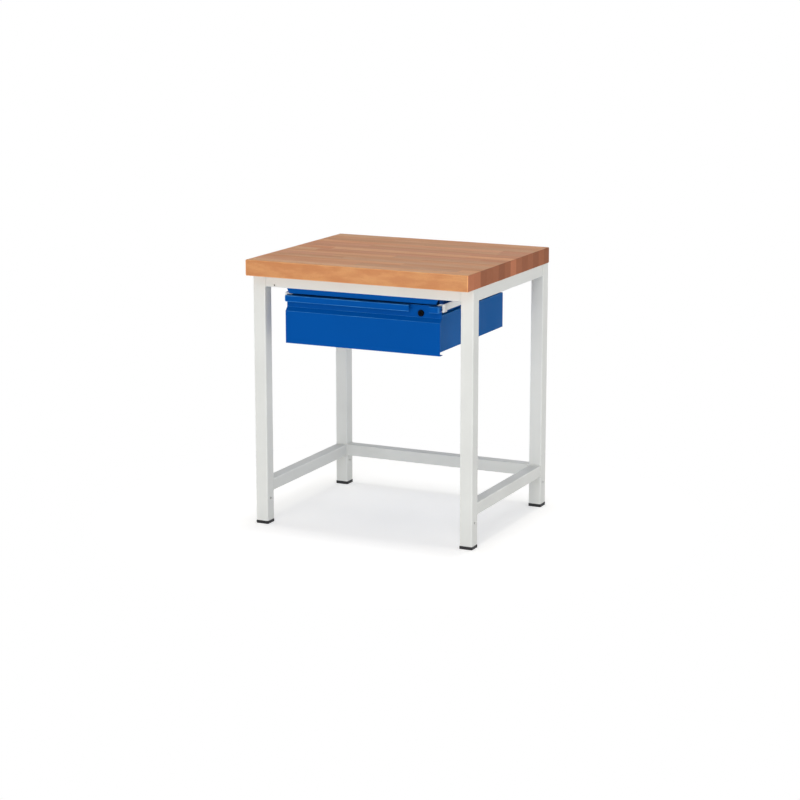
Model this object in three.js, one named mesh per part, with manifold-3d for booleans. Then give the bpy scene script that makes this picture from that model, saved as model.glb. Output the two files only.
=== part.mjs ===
// A small workshop bench: beech block top, welded square-tube frame and one lockable steel drawer.
// Millimetres, +Z up. The origin is on the floor under the middle of the worktop, the drawer faces -Y.

import * as THREE from "three";
import { mergeVertices } from "three/addons/utils/BufferGeometryUtils.js";
import Module from "manifold-3d";

const wasm = await Module();
wasm.setup();

// Worktop
const WIDTH = 750;
const DEPTH = 650;
const HEIGHT = 850;
const TOP_THICKNESS = 50;
const TOP_EDGE_RADIUS = 3;
const TOP_CORNER_RADIUS = 5;

// How far the worktop stands out over the frame
const OVERHANG_FRONT = 46;
const OVERHANG_BACK = 2;
const OVERHANG_SIDE = 2;

// Frame tubes
const LEG = 42;
const LEG_WALL = 2;
const LEG_CORNER_RADIUS = 3.5;
const RAIL = 38;
const RAIL_WALL = 2;
const RAIL_CORNER_RADIUS = 3;
const FOOT_RAIL_LIFT = 101;
const LEG_HOLE_DIAMETER = 8;
const LEG_HOLE_DROP = 20;
const DRAIN_HOLE_DIAMETER = 5;
const DRAIN_HOLE_INSET = 32;
const DRAIN_HOLE_LIFT = 7;

// Foot plugs
const FOOT_HEIGHT = 10;
const FOOT_PROUD = 0.8;
const FOOT_CORNER_RADIUS = 4;
const FOOT_PLUG_LENGTH = 25;

// Fixing tabs and their screws
const TAB_WIDTH = 40;
const TAB_REACH = 30;
const TAB_THICKNESS = 3;
const TAB_FROM_LEG = 90;
const SCREW_DIAMETER = 5;
const SCREW_HEAD_DIAMETER = 10;
const SCREW_HEAD_HEIGHT = 3;
const SCREW_BITE = 22;

// Cover pan under the top rails
const SHEET = 1.5;
const PAN_DROP = 15;
const PAN_FLANGE = 10;
const PAN_LIP_CHAMFER = 7;
const PAN_SETBACK = 4;
const BOLT_DIAMETER = 6;
const BOLT_HEAD_ACROSS = 11;
const BOLT_HEAD_HEIGHT = 4;
const BOLT_LENGTH = 14;
const BOLT_INSET = 31;

// Drawer front, from its top edge down
const DRAWER_SIDE_GAP = 69;
const DRAWER_BACK_GAP = 111;
const FRONT_GAP = 6;
const FRONT_SETBACK = 4;
const GRIP_HEIGHT = 20;
const GRIP_PROUD = 7;
const GRIP_HEM = 7;
const GRIP_BACK_HEIGHT = 14;
const RECESS_HEIGHT = 18;
const RECESS_DEPTH = 11.5;
const LEDGE_HEIGHT = 12;
const PANEL_HEIGHT = 101;
const FRONT_HEM = 20;
const FRONT_TOP_FLANGE = 12;

// Drawer tray and its rails
const TRAY_LIFT = 12;
const STEP_IN = 15;
const STEP_GAP = 12;
const DRAWER_RAIL_THICKNESS = 2;
const DRAWER_RAIL_HEIGHT = 22;

// Runners, rollers and stops
const RUNNER_HEIGHT = 22;
const RUNNER_WIDTH = 13;
const RUNNER_THICKNESS = 2;
const RUNNER_SIDE_GAP = 6;
const RUNNER_TAIL = 18;
const SHOE_LENGTH = 22;
const SHOE_CHEEK = 4;
const SHOE_SOLE = 2.4;
const KEPT_ROLLER_SPAN = 85;
const FRONT_ROLLER_INSET = 14;
const REAR_ROLLER_INSET = 14;
const ROLLER_INSET_X = 1.5;
const PIN_DIAMETER = 5;
const PIN_HEAD_DIAMETER = 8;
const PIN_HEAD_THICKNESS = 1.2;
const STOP_LENGTH = 10;
const STOP_HEIGHT = 9;
const BUFFER_LENGTH = 8;

// Lock
const LOCK_INSET = 67;
const LOCK_RISE = 3;
const LOCK_BAY_WIDTH = 66;
const BEZEL_DIAMETER = 20;
const BEZEL_PROUD = 5.5;
const BARREL_DIAMETER = 16;
const BARREL_BACK = 15;
const PLUG_DIAMETER = 11;
const PLUG_PROUD = 0.6;
const TAIL_DIAMETER = 6;
const KEYWAY_WIDTH = 2;
const KEYWAY_HEIGHT = 7;
const KEYWAY_DEPTH = 8;
const NUT_ACROSS = 22;
const NUT_THICKNESS = 4;
const CAM_THICKNESS = 2.5;
const CAM_WIDTH = 14;
const CAM_CATCH = 8;
const CAM_SCREW_DIAMETER = 10;
const CAM_SCREW_HEIGHT = 3;
const STRIKE_WIDTH = 36;
const STRIKE_REACH = 18;
const STRIKE_THICKNESS = 2;
const STRIKE_PLAY = 1;

// Clearances
const SEAT = 0.1;
const FIT = 0.3;
const ROLL_GAP = 0.5;
const FLANGE_PLAY = 0.8;

// How far a cutting shape runs past the face it opens
const OVERCUT = 1;

// How finely round shapes are cut
const CORNER_STEPS = 2;
const ROUND_STEPS = 20;
const ROLLER_STEPS = 28;

// Places that several pieces share
const frameWidth = WIDTH - 2 * OVERHANG_SIDE;
const frameFront = -DEPTH / 2 + OVERHANG_FRONT;
const frameBack = DEPTH / 2 - OVERHANG_BACK;
const frameTop = HEIGHT - TOP_THICKNESS - SEAT;
const legX = frameWidth / 2 - LEG / 2;
const legFrontY = frameFront + LEG / 2;
const legBackY = frameBack - LEG / 2;
const frameMidY = (legFrontY + legBackY) / 2;
const railSpanX = 2 * legX - LEG - 2 * SEAT;
const railSpanY = legBackY - legFrontY - LEG - 2 * SEAT;
const topRailZ = frameTop - RAIL / 2;
const footRailZ = FOOT_RAIL_LIFT + RAIL / 2;
const legHoleZ = FOOT_RAIL_LIFT - LEG_HOLE_DROP;
const railUnder = frameTop - RAIL;

const panTop = railUnder - SEAT;
const panPlateUnder = panTop - SHEET;
const panUnder = panTop - PAN_DROP;
const panFront = frameFront + PAN_SETBACK;
const panBack = legBackY + RAIL / 2;

const panelY = frameFront + FRONT_SETBACK;
const frontTop = panUnder - FRONT_GAP;
const gripUnder = frontTop - GRIP_HEIGHT;
const recessFoot = gripUnder - RECESS_HEIGHT;
const panelTop = recessFoot - LEDGE_HEIGHT;
const panelUnder = panelTop - PANEL_HEIGHT;
const plateY = panelY + RECESS_DEPTH;
const plateBackY = plateY + SHEET;
const trayFrontY = plateBackY + FIT;
const trayBackY = frameBack - DRAWER_BACK_GAP;
const trayUnder = panelUnder + TRAY_LIFT;
const halfDrawer = legX - LEG / 2 - DRAWER_SIDE_GAP;
const upperWallX = halfDrawer - STEP_IN;

const runnerTop = panUnder - SEAT;
const runnerUnder = runnerTop - RUNNER_HEIGHT;
const runnerTipX = upperWallX + RUNNER_SIDE_GAP;
const runnerOuterX = runnerTipX + RUNNER_WIDTH;
const runnerWebX = runnerOuterX - RUNNER_THICKNESS;
const runnerFrontY = plateBackY + 2 * FIT;
const runnerBackY = trayBackY + RUNNER_TAIL;
const runnerFloor = runnerUnder + RUNNER_THICKNESS;
const stepTop = runnerUnder - STEP_GAP;
const panHalf = runnerOuterX - PAN_FLANGE;

const flangeTop = runnerTop - RUNNER_THICKNESS - FLANGE_PLAY;
const flangeUnder = flangeTop - DRAWER_RAIL_THICKNESS;
const rollerRadius = (flangeUnder - runnerFloor - FIT - ROLL_GAP) / 2;
const frontRollerZ = flangeUnder - FIT - rollerRadius;
const rearRollerZ = runnerFloor + FIT + rollerRadius;
const frontRollerY = runnerFrontY + FRONT_ROLLER_INSET;
const rearRollerY = trayBackY - REAR_ROLLER_INSET;
const travel = rearRollerY - frontRollerY - KEPT_ROLLER_SPAN;
const pinHeadOuterX = runnerWebX - ROLL_GAP;
const rollerOuterX = pinHeadOuterX - PIN_HEAD_THICKNESS - FIT;
const rollerInnerX = runnerTipX + ROLLER_INSET_X;

const lockX = halfDrawer - LOCK_INSET;
const lockZ = recessFoot + LOCK_RISE + BEZEL_DIAMETER / 2;
const barrelBackY = plateBackY + BARREL_BACK;
const camFrontY = barrelBackY + FIT;
const camReach = panUnder + CAM_CATCH - lockZ;

// Solids and booleans

function solid(geometry) {
  const bare = geometry.clone();
  bare.deleteAttribute("normal");
  bare.deleteAttribute("uv");
  const merged = mergeVertices(bare, 1e-4);
  return new wasm.Manifold(
    new wasm.Mesh({
      numProp: 3,
      vertProperties: new Float32Array(merged.attributes.position.array),
      triVerts: new Uint32Array(merged.index.array),
    }),
  );
}

function geometryOf(manifold) {
  const mesh = manifold.getMesh();
  const geometry = new THREE.BufferGeometry();
  geometry.setAttribute("position", new THREE.BufferAttribute(mesh.vertProperties, 3));
  geometry.setIndex(new THREE.BufferAttribute(mesh.triVerts, 1));
  return geometry;
}

function join(...geometries) {
  return geometryOf(geometries.map(solid).reduce((whole, piece) => whole.add(piece)));
}

function cut(geometry, ...tools) {
  return geometryOf(tools.map(solid).reduce((rest, tool) => rest.subtract(tool), solid(geometry)));
}

// Basic shapes

function block([x0, x1], [y0, y1], [z0, z1]) {
  const geometry = new THREE.BoxGeometry(x1 - x0, y1 - y0, z1 - z0);
  return geometry.translate((x0 + x1) / 2, (y0 + y1) / 2, (z0 + z1) / 2);
}

function roundedSquare(width, height, radius, Kind = THREE.Shape) {
  const [x, y] = [width / 2, height / 2];
  const outline = new Kind();
  outline.moveTo(x, -y + radius);
  outline.absarc(x - radius, y - radius, radius, 0, Math.PI / 2);
  outline.absarc(-x + radius, y - radius, radius, Math.PI / 2, Math.PI);
  outline.absarc(-x + radius, -y + radius, radius, Math.PI, 1.5 * Math.PI);
  outline.absarc(x - radius, -y + radius, radius, 1.5 * Math.PI, 2 * Math.PI);
  return outline;
}

function extrude(shape, depth) {
  return new THREE.ExtrudeGeometry(shape, {
    depth,
    bevelEnabled: false,
    curveSegments: CORNER_STEPS,
  });
}

// A square tube standing on Z from zero to its length.
function squareTube(side, wall, radius, length) {
  const section = roundedSquare(side, side, radius);
  const innerRadius = Math.max(radius - wall, wall / 4);
  section.holes.push(roundedSquare(side - 2 * wall, side - 2 * wall, innerRadius, THREE.Path));
  return extrude(section, length);
}

// The same tube lying along X or Y, centred on the origin.
function lyingTube(axis, length) {
  const tube = squareTube(RAIL, RAIL_WALL, RAIL_CORNER_RADIUS, length).translate(0, 0, -length / 2);
  return axis === "x" ? tube.rotateY(Math.PI / 2) : tube.rotateX(Math.PI / 2);
}

// A turned piece: [radius, height] points around Z.
function turned(points, steps = ROUND_STEPS) {
  return new THREE.LatheGeometry(points.map(([r, z]) => new THREE.Vector2(r, z)), steps).rotateX(Math.PI / 2);
}

function rod(diameter, z0, z1, steps = ROUND_STEPS) {
  const r = diameter / 2;
  return turned([[0, z0], [r, z0], [r, z1], [0, z1]], steps);
}

function ring(outer, inner, z0, z1, steps = ROUND_STEPS) {
  const [a, b] = [inner / 2, outer / 2];
  return turned([[a, z0], [b, z0], [b, z1], [a, z1], [a, z0]], steps);
}

// A hexagon prism around Z, its size given across the flats.
function hexagon(across, z0, z1) {
  const radius = across / Math.sqrt(3);
  const prism = new THREE.CylinderGeometry(radius, radius, z1 - z0, 6).rotateX(Math.PI / 2);
  return prism.translate(0, 0, (z0 + z1) / 2);
}

// Z turned to point along X or Y.
const alongX = (geometry) => geometry.rotateY(Math.PI / 2);
const alongY = (geometry) => geometry.rotateX(-Math.PI / 2);

// A polygon of [y, z] points made a plate from x0 to x1.
function plateInX(points, x0, x1) {
  const shape = new THREE.Shape(points.map(([y, z]) => new THREE.Vector2(y, z)));
  const plate = extrude(shape, x1 - x0);
  const turn = new THREE.Matrix4().makeBasis(
    new THREE.Vector3(0, 1, 0),
    new THREE.Vector3(0, 0, 1),
    new THREE.Vector3(1, 0, 0),
  );
  return plate.applyMatrix4(turn).translate(x0, 0, 0);
}

// The closed outline of a folded sheet: a line of points and the same line set off to its left.
function foldedSheet(points, thickness) {
  const line = points.map(([a, b]) => new THREE.Vector2(a, b));
  const sides = line.slice(1).map((p, i) => p.clone().sub(line[i]).normalize());
  const normals = sides.map((d) => new THREE.Vector2(-d.y, d.x));
  const offset = line.map((p, i) => {
    const before = normals[Math.max(i - 1, 0)];
    const after = normals[Math.min(i, normals.length - 1)];
    const mitre = before.clone().add(after);
    return p.clone().addScaledVector(mitre, thickness / (1 + before.dot(after)));
  });
  return [...line, ...offset.reverse()].map((p) => [p.x, p.y]);
}

// Finishes

const paint = (color, roughness) => () => new THREE.MeshStandardMaterial({ color, roughness, metalness: 0 });
const metal = (color, roughness) => () => new THREE.MeshStandardMaterial({ color, roughness, metalness: 1 });
const beech = paint(0xc69468, 0.55);
const greyPaint = paint(0xd8d8d4, 0.45);
const bluePaint = paint(0x0053a3, 0.35);
const blackPlastic = paint(0x1c1c1d, 0.6);
const nylon = paint(0xe6e3d8, 0.5);
const zinc = metal(0xb9bcc0, 0.4);

function piece(group, name, geometry, finish) {
  const mesh = new THREE.Mesh(geometry, finish());
  mesh.name = name;
  group.add(mesh);
  return mesh;
}

const SIDES = [["left", -1], ["right", 1]];
const ENDS = [["front", -1], ["rear", 1]];
const legY = (y) => (y < 0 ? legFrontY : legBackY);
const CORNERS = ENDS.flatMap(([end, y]) => SIDES.map(([side, x]) => [`${end}_${side}`, x, y]));

const bench = new THREE.Group();

// Worktop with the four pilot holes for its screws

const tabX = legX - RAIL / 2 - SEAT - TAB_REACH / 2;
const tabY = (y) => frameMidY + y * ((legBackY - legFrontY) / 2 - TAB_FROM_LEG);
const screwHole = SCREW_DIAMETER + 2 * FIT;

function worktopGeometry() {
  const flat = roundedSquare(
    WIDTH - 2 * TOP_EDGE_RADIUS,
    DEPTH - 2 * TOP_EDGE_RADIUS,
    TOP_CORNER_RADIUS - TOP_EDGE_RADIUS,
  );
  const board = new THREE.ExtrudeGeometry(flat, {
    depth: TOP_THICKNESS - 2 * TOP_EDGE_RADIUS,
    bevelThickness: TOP_EDGE_RADIUS,
    bevelSize: TOP_EDGE_RADIUS,
    bevelSegments: 3,
    curveSegments: CORNER_STEPS,
  });
  board.translate(0, 0, HEIGHT - TOP_THICKNESS + TOP_EDGE_RADIUS);
  const under = HEIGHT - TOP_THICKNESS;
  const pilots = CORNERS.map(([, x, y]) =>
    rod(screwHole, under - OVERCUT, under + SCREW_BITE + FIT).translate(x * tabX, tabY(y), 0),
  );
  return cut(board, ...pilots);
}

piece(bench, "worktop", worktopGeometry(), beech);

// Frame: legs, rails and foot plugs

const frame = new THREE.Group();
bench.add(frame);

function legGeometry() {
  const tube = squareTube(LEG, LEG_WALL, LEG_CORNER_RADIUS, frameTop - FOOT_HEIGHT);
  tube.translate(0, 0, FOOT_HEIGHT);
  return cut(tube, alongX(rod(LEG_HOLE_DIAMETER, -LEG, LEG)).translate(0, 0, legHoleZ));
}

function footGeometry() {
  const padSide = LEG + 2 * FOOT_PROUD;
  const plugSide = LEG - 2 * LEG_WALL - 2 * FIT;
  const plugRadius = LEG_CORNER_RADIUS;
  const pad = extrude(roundedSquare(padSide, padSide, FOOT_CORNER_RADIUS), FOOT_HEIGHT - SEAT);
  const plug = extrude(roundedSquare(plugSide, plugSide, plugRadius), FOOT_PLUG_LENGTH + FOOT_HEIGHT / 2);
  return join(pad, plug.translate(0, 0, FOOT_HEIGHT / 2));
}

const leg = legGeometry();
const foot = footGeometry();
for (const [corner, x, y] of CORNERS) {
  const place = [x * legX, legY(y), 0];
  piece(frame, `leg_${corner}`, leg, greyPaint).position.set(...place);
  piece(frame, `foot_plug_${corner}`, foot, blackPlastic).position.set(...place);
}

// The front and rear top rails take the pan's bolts in their underside.
const boltX = panHalf - BOLT_INSET;
const boltHole = BOLT_DIAMETER + 2 * FIT;

function boltedRail() {
  const under = -RAIL / 2;
  const hole = rod(boltHole, under - OVERCUT, under + RAIL_WALL + OVERCUT);
  const holes = SIDES.map(([, x]) => hole.clone().translate(x * boltX, 0, 0));
  return cut(lyingTube("x", railSpanX), ...holes);
}

function frontRail() {
  const drain = alongY(rod(DRAIN_HOLE_DIAMETER, -RAIL / 2 - OVERCUT, -RAIL / 2 + RAIL_WALL + OVERCUT));
  const x = -railSpanX / 2 + DRAIN_HOLE_INSET;
  return cut(boltedRail(), drain.translate(x, 0, -RAIL / 2 + DRAIN_HOLE_LIFT));
}

piece(frame, "top_rail_front", frontRail(), greyPaint).position.set(0, legFrontY, topRailZ);
piece(frame, "top_rail_rear", boltedRail(), greyPaint).position.set(0, legBackY, topRailZ);
piece(frame, "foot_rail_rear", lyingTube("x", railSpanX), greyPaint).position.set(0, legBackY, footRailZ);
for (const [side, x] of SIDES) {
  const rail = lyingTube("y", railSpanY);
  piece(frame, `top_rail_${side}`, rail, greyPaint).position.set(x * legX, frameMidY, topRailZ);
  piece(frame, `foot_rail_${side}`, rail, greyPaint).position.set(x * legX, frameMidY, footRailZ);
}

// Fixing tabs on the side rails, each with a wood screw up into the board

const tab = cut(
  block([-TAB_REACH / 2, TAB_REACH / 2], [-TAB_WIDTH / 2, TAB_WIDTH / 2], [-TAB_THICKNESS, 0]),
  rod(screwHole, -TAB_THICKNESS - OVERCUT, OVERCUT),
);
const headTop = -TAB_THICKNESS - SEAT;
const screw = turned([
  [0, headTop - SCREW_HEAD_HEIGHT],
  [SCREW_HEAD_DIAMETER / 3, headTop - SCREW_HEAD_HEIGHT],
  [SCREW_HEAD_DIAMETER / 2, headTop],
  [SCREW_DIAMETER / 2, headTop],
  [SCREW_DIAMETER / 2, SCREW_BITE - SCREW_DIAMETER],
  [0, SCREW_BITE],
]);
for (const [corner, x, y] of CORNERS) {
  const place = [x * tabX, tabY(y), frameTop];
  piece(frame, `top_tab_${corner}`, tab, greyPaint).position.set(...place);
  piece(frame, `top_screw_${corner}`, screw, zinc).position.set(...place);
}

// Cover pan: plate under the rails, front lip, side walls and the flanges that carry the runners

function panGeometry() {
  const plate = block([-panHalf, panHalf], [panFront, panBack], [panPlateUnder, panTop]);
  const hole = rod(boltHole, panPlateUnder - OVERCUT, panTop + OVERCUT);
  const holes = CORNERS.map(([, x, y]) => hole.clone().translate(x * boltX, legY(y), 0));
  const lipShape = new THREE.Shape([
    new THREE.Vector2(-panHalf, panTop),
    new THREE.Vector2(-panHalf + PAN_LIP_CHAMFER, panUnder),
    new THREE.Vector2(panHalf - PAN_LIP_CHAMFER, panUnder),
    new THREE.Vector2(panHalf, panTop),
  ]);
  const lip = extrude(lipShape, SHEET).rotateX(Math.PI / 2).translate(0, panFront + SHEET, 0);
  const sides = SIDES.flatMap(([, x]) => {
    const wall = [x * panHalf, x * (panHalf - SHEET)].sort((a, b) => a - b);
    const flange = [x * (panHalf - SHEET), x * runnerOuterX].sort((a, b) => a - b);
    return [
      block(wall, [runnerFrontY, panBack], [panUnder, panTop]),
      block(flange, [runnerFrontY, runnerBackY], [panUnder, panUnder + SHEET]),
    ];
  });
  return join(cut(plate, ...holes), lip, ...sides);
}

const housing = new THREE.Group();
bench.add(housing);
piece(housing, "cover_pan", panGeometry(), bluePaint);

const bolt = join(
  hexagon(BOLT_HEAD_ACROSS, -BOLT_HEAD_HEIGHT - SEAT, -SEAT),
  rod(BOLT_DIAMETER, -BOLT_HEAD_HEIGHT / 2, BOLT_LENGTH),
);
for (const [corner, x, y] of CORNERS) {
  const mesh = piece(housing, `pan_bolt_${corner}`, bolt, zinc);
  mesh.position.set(x * boltX, legY(y), panPlateUnder);
}

// Runners: channels that open towards the drawer. Pieces are drawn for the right side, and a group that
// mirrors X holds the left side's.

function sideGroup(parent, x) {
  const group = new THREE.Group();
  group.scale.x = x;
  parent.add(group);
  return group;
}

function runnerGeometry() {
  const web = block([runnerWebX, runnerOuterX], [runnerFrontY, runnerBackY], [runnerUnder, runnerTop]);
  const flange = (z0, z1) => block([runnerTipX, runnerOuterX], [runnerFrontY, runnerBackY], [z0, z1]);
  return join(web, flange(runnerUnder, runnerFloor), flange(runnerTop - RUNNER_THICKNESS, runnerTop));
}

// A plastic shoe under and beside each runner's front end, which guides the rail in and covers the roller's pin.
function shoeGeometry() {
  const length = [runnerFrontY, runnerFrontY + SHOE_LENGTH];
  const outerX = runnerOuterX + SHOE_CHEEK;
  const soleUnder = runnerUnder - SHOE_SOLE;
  const cheek = block([runnerOuterX + SEAT, outerX], length, [soleUnder, runnerTop]);
  return join(cheek, block([runnerTipX, outerX], length, [soleUnder, runnerUnder - SEAT]));
}

const rollerBore = PIN_DIAMETER + 2 * FIT;
const roller = alongX(ring(2 * rollerRadius, rollerBore, rollerInnerX, rollerOuterX, ROLLER_STEPS));

// The front pin stands on the runner's web, the rear pin on the drawer's rail.
const frontPin = alongX(turned([
  [0, rollerInnerX - FIT - PIN_HEAD_THICKNESS],
  [PIN_HEAD_DIAMETER / 2, rollerInnerX - FIT - PIN_HEAD_THICKNESS],
  [PIN_HEAD_DIAMETER / 2, rollerInnerX - FIT],
  [PIN_DIAMETER / 2, rollerInnerX - FIT],
  [PIN_DIAMETER / 2, runnerWebX - SEAT],
  [0, runnerWebX - SEAT],
]));
const railOuterX = upperWallX + SEAT + DRAWER_RAIL_THICKNESS;
const rearPin = alongX(turned([
  [0, railOuterX + SEAT],
  [PIN_HEAD_DIAMETER / 2, railOuterX + SEAT],
  [PIN_HEAD_DIAMETER / 2, rollerInnerX - FIT],
  [PIN_DIAMETER / 2, rollerInnerX - FIT],
  [PIN_DIAMETER / 2, rollerOuterX + FIT],
  [PIN_HEAD_DIAMETER / 2, rollerOuterX + FIT],
  [PIN_HEAD_DIAMETER / 2, pinHeadOuterX],
  [0, pinHeadOuterX],
]));

const stopX = [rollerInnerX, runnerWebX - SEAT];
const stopBackY = rearRollerY - travel - rollerRadius - FIT;
const bufferFrontY = rearRollerY + rollerRadius + FIT;
const stopBase = runnerFloor + SEAT;
const stopBlock = (y0, y1) => block(stopX, [y0, y1], [stopBase, stopBase + STOP_HEIGHT]);
const travelStop = stopBlock(stopBackY - STOP_LENGTH, stopBackY);
const closingBuffer = stopBlock(bufferFrontY, bufferFrontY + BUFFER_LENGTH);

for (const [side, x] of SIDES) {
  const group = sideGroup(housing, x);
  const axle = [0, frontRollerY, frontRollerZ];
  piece(group, `runner_${side}`, runnerGeometry(), greyPaint);
  piece(group, `runner_shoe_${side}`, shoeGeometry(), nylon);
  piece(group, `front_roller_${side}`, roller, nylon).position.set(...axle);
  piece(group, `front_roller_pin_${side}`, frontPin, zinc).position.set(...axle);
  piece(group, `travel_stop_${side}`, travelStop, blackPlastic);
  piece(group, `closing_buffer_${side}`, closingBuffer, blackPlastic);
}

// Strike: an angle under the pan's plate, just in front of the lock's cam

function strikeGeometry() {
  const backY = camFrontY - STRIKE_PLAY;
  const frontY = backY - STRIKE_THICKNESS;
  const top = panPlateUnder - SEAT;
  const wide = [lockX - STRIKE_WIDTH / 2, lockX + STRIKE_WIDTH / 2];
  const leaf = block(wide, [frontY, frontY + STRIKE_REACH], [top - STRIKE_THICKNESS, top]);
  return join(leaf, block(wide, [frontY, backY], [panUnder - FRONT_GAP / 3, top]));
}

piece(housing, "lock_strike", strikeGeometry(), zinc);

// Drawer: folded front, pull rail in two lengths, tray and rails

const drawer = new THREE.Group();
bench.add(drawer);

function frontGeometry() {
  const fold = foldedSheet(
    [
      [plateY, frontTop],
      [plateY, recessFoot],
      [panelY, panelTop],
      [panelY, panelUnder],
      [panelY + FRONT_HEM, panelUnder],
    ],
    SHEET,
  );
  const sheet = plateInX(fold, -halfDrawer, halfDrawer);
  const flangeHalf = upperWallX - SHEET - FIT;
  const flange = block(
    [-flangeHalf, flangeHalf],
    [plateY, plateBackY + FRONT_TOP_FLANGE],
    [frontTop - SHEET, frontTop],
  );
  const lockHole = alongY(rod(BARREL_DIAMETER + 2 * FIT, -RECESS_DEPTH, RECESS_DEPTH));
  return cut(join(sheet, flange), lockHole.translate(lockX, plateY, lockZ));
}

piece(drawer, "drawer_front", frontGeometry(), bluePaint);

// The pull rail's section: back leg on the recessed plate, top, front face and a small hem for the fingers.
const gripFaceY = panelY - GRIP_PROUD;
const gripSection = foldedSheet(
  [
    [plateY - SEAT, frontTop - GRIP_BACK_HEIGHT],
    [plateY - SEAT, frontTop],
    [gripFaceY, frontTop],
    [gripFaceY, gripUnder],
    [gripFaceY + GRIP_HEM, gripUnder],
  ],
  SHEET,
);
piece(drawer, "grip_long", plateInX(gripSection, -halfDrawer, lockX - LOCK_BAY_WIDTH / 2), bluePaint);
piece(drawer, "grip_short", plateInX(gripSection, lockX + LOCK_BAY_WIDTH / 2, halfDrawer), bluePaint);

// A side is a lower wall, a step inwards and an upper wall. Its front edge follows the folded front.
function sideGeometry() {
  const lower = [halfDrawer - SHEET, halfDrawer];
  const upper = [upperWallX - SHEET, upperWallX];
  const panelBackY = panelY + SHEET + FIT;
  const slantRise = (LEDGE_HEIGHT / RECESS_DEPTH) * (trayFrontY - panelBackY);
  const cornerZ = panelTop - SHEET;
  const lowerWall = plateInX(
    [
      [panelBackY, trayUnder],
      [trayBackY, trayUnder],
      [trayBackY, stepTop],
      [trayFrontY, stepTop],
      [trayFrontY, cornerZ + slantRise],
      [panelBackY, cornerZ],
    ],
    ...lower,
  );
  const step = block([upper[0], lower[1]], [trayFrontY, trayBackY], [stepTop - SHEET, stepTop]);
  const upperWall = block(upper, [trayFrontY, trayBackY], [stepTop - SHEET, frontTop]);
  return join(lowerWall, step, upperWall);
}

function bottomGeometry() {
  const half = halfDrawer - SHEET - SEAT;
  const frontY = panelY + SHEET + FIT;
  return block([-half, half], [frontY, trayBackY - SHEET - SEAT], [trayUnder, trayUnder + SHEET]);
}

function backGeometry() {
  const lowHalf = halfDrawer - SHEET - SEAT;
  const highHalf = upperWallX - SHEET - SEAT;
  const shoulder = stepTop - SHEET - SEAT;
  const outline = new THREE.Shape([
    new THREE.Vector2(-lowHalf, trayUnder),
    new THREE.Vector2(lowHalf, trayUnder),
    new THREE.Vector2(lowHalf, shoulder),
    new THREE.Vector2(highHalf, shoulder),
    new THREE.Vector2(highHalf, frontTop),
    new THREE.Vector2(-highHalf, frontTop),
    new THREE.Vector2(-highHalf, shoulder),
    new THREE.Vector2(-lowHalf, shoulder),
  ]);
  return extrude(outline, SHEET).rotateX(Math.PI / 2).translate(0, trayBackY, 0);
}

// An angle on the side's upper wall: its flange lies on the front roller inside the runner.
function drawerRailGeometry() {
  const innerX = upperWallX + SEAT;
  const along = [runnerFrontY, trayBackY];
  const wall = block([innerX, railOuterX], along, [flangeTop - DRAWER_RAIL_HEIGHT, flangeTop]);
  return join(wall, block([innerX, pinHeadOuterX], along, [flangeUnder, flangeTop]));
}

piece(drawer, "drawer_bottom", bottomGeometry(), bluePaint);
piece(drawer, "drawer_back", backGeometry(), bluePaint);
for (const [side, x] of SIDES) {
  const group = sideGroup(drawer, x);
  const axle = [0, rearRollerY, rearRollerZ];
  piece(group, `drawer_side_${side}`, sideGeometry(), bluePaint);
  piece(group, `drawer_rail_${side}`, drawerRailGeometry(), zinc);
  piece(group, `rear_roller_${side}`, roller, nylon).position.set(...axle);
  piece(group, `rear_roller_pin_${side}`, rearPin, zinc).position.set(...axle);
}

// Lock, turned about an axis along Y through the recessed plate

const lock = new THREE.Group();
lock.position.set(lockX, plateY, lockZ);
drawer.add(lock);

const plugBore = PLUG_DIAMETER + 2 * FIT;
const barrelBack = barrelBackY - plateY;
const bezelEdge = BEZEL_PROUD / 4;
const barrel = alongY(turned([
  [plugBore / 2, -BEZEL_PROUD],
  [BEZEL_DIAMETER / 2 - bezelEdge, -BEZEL_PROUD],
  [BEZEL_DIAMETER / 2, -BEZEL_PROUD + bezelEdge],
  [BEZEL_DIAMETER / 2, -SEAT],
  [BARREL_DIAMETER / 2, -SEAT],
  [BARREL_DIAMETER / 2, barrelBack],
  [plugBore / 2, barrelBack],
  [plugBore / 2, -BEZEL_PROUD],
]));
piece(lock, "lock_barrel", barrel, blackPlastic);

const nutFront = SHEET + SEAT;
const nut = cut(
  hexagon(NUT_ACROSS, nutFront, nutFront + NUT_THICKNESS),
  rod(BARREL_DIAMETER + 2 * FIT, nutFront - OVERCUT, nutFront + NUT_THICKNESS + OVERCUT),
);
piece(lock, "lock_nut", alongY(nut), zinc);

const camFront = camFrontY - plateY;
const camBack = camFront + CAM_THICKNESS;
const plugFront = -BEZEL_PROUD - PLUG_PROUD;
const plugBody = turned([
  [0, plugFront],
  [PLUG_DIAMETER / 2, plugFront],
  [PLUG_DIAMETER / 2, barrelBack],
  [TAIL_DIAMETER / 2, barrelBack],
  [TAIL_DIAMETER / 2, camBack],
  [0, camBack],
]);
const [slotX, slotY] = [KEYWAY_WIDTH / 2, KEYWAY_HEIGHT / 2];
const keyway = block([-slotX, slotX], [-slotY, slotY], [plugFront - OVERCUT, plugFront + KEYWAY_DEPTH]);
piece(lock, "lock_plug", alongY(cut(plugBody, keyway)), zinc);

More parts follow.
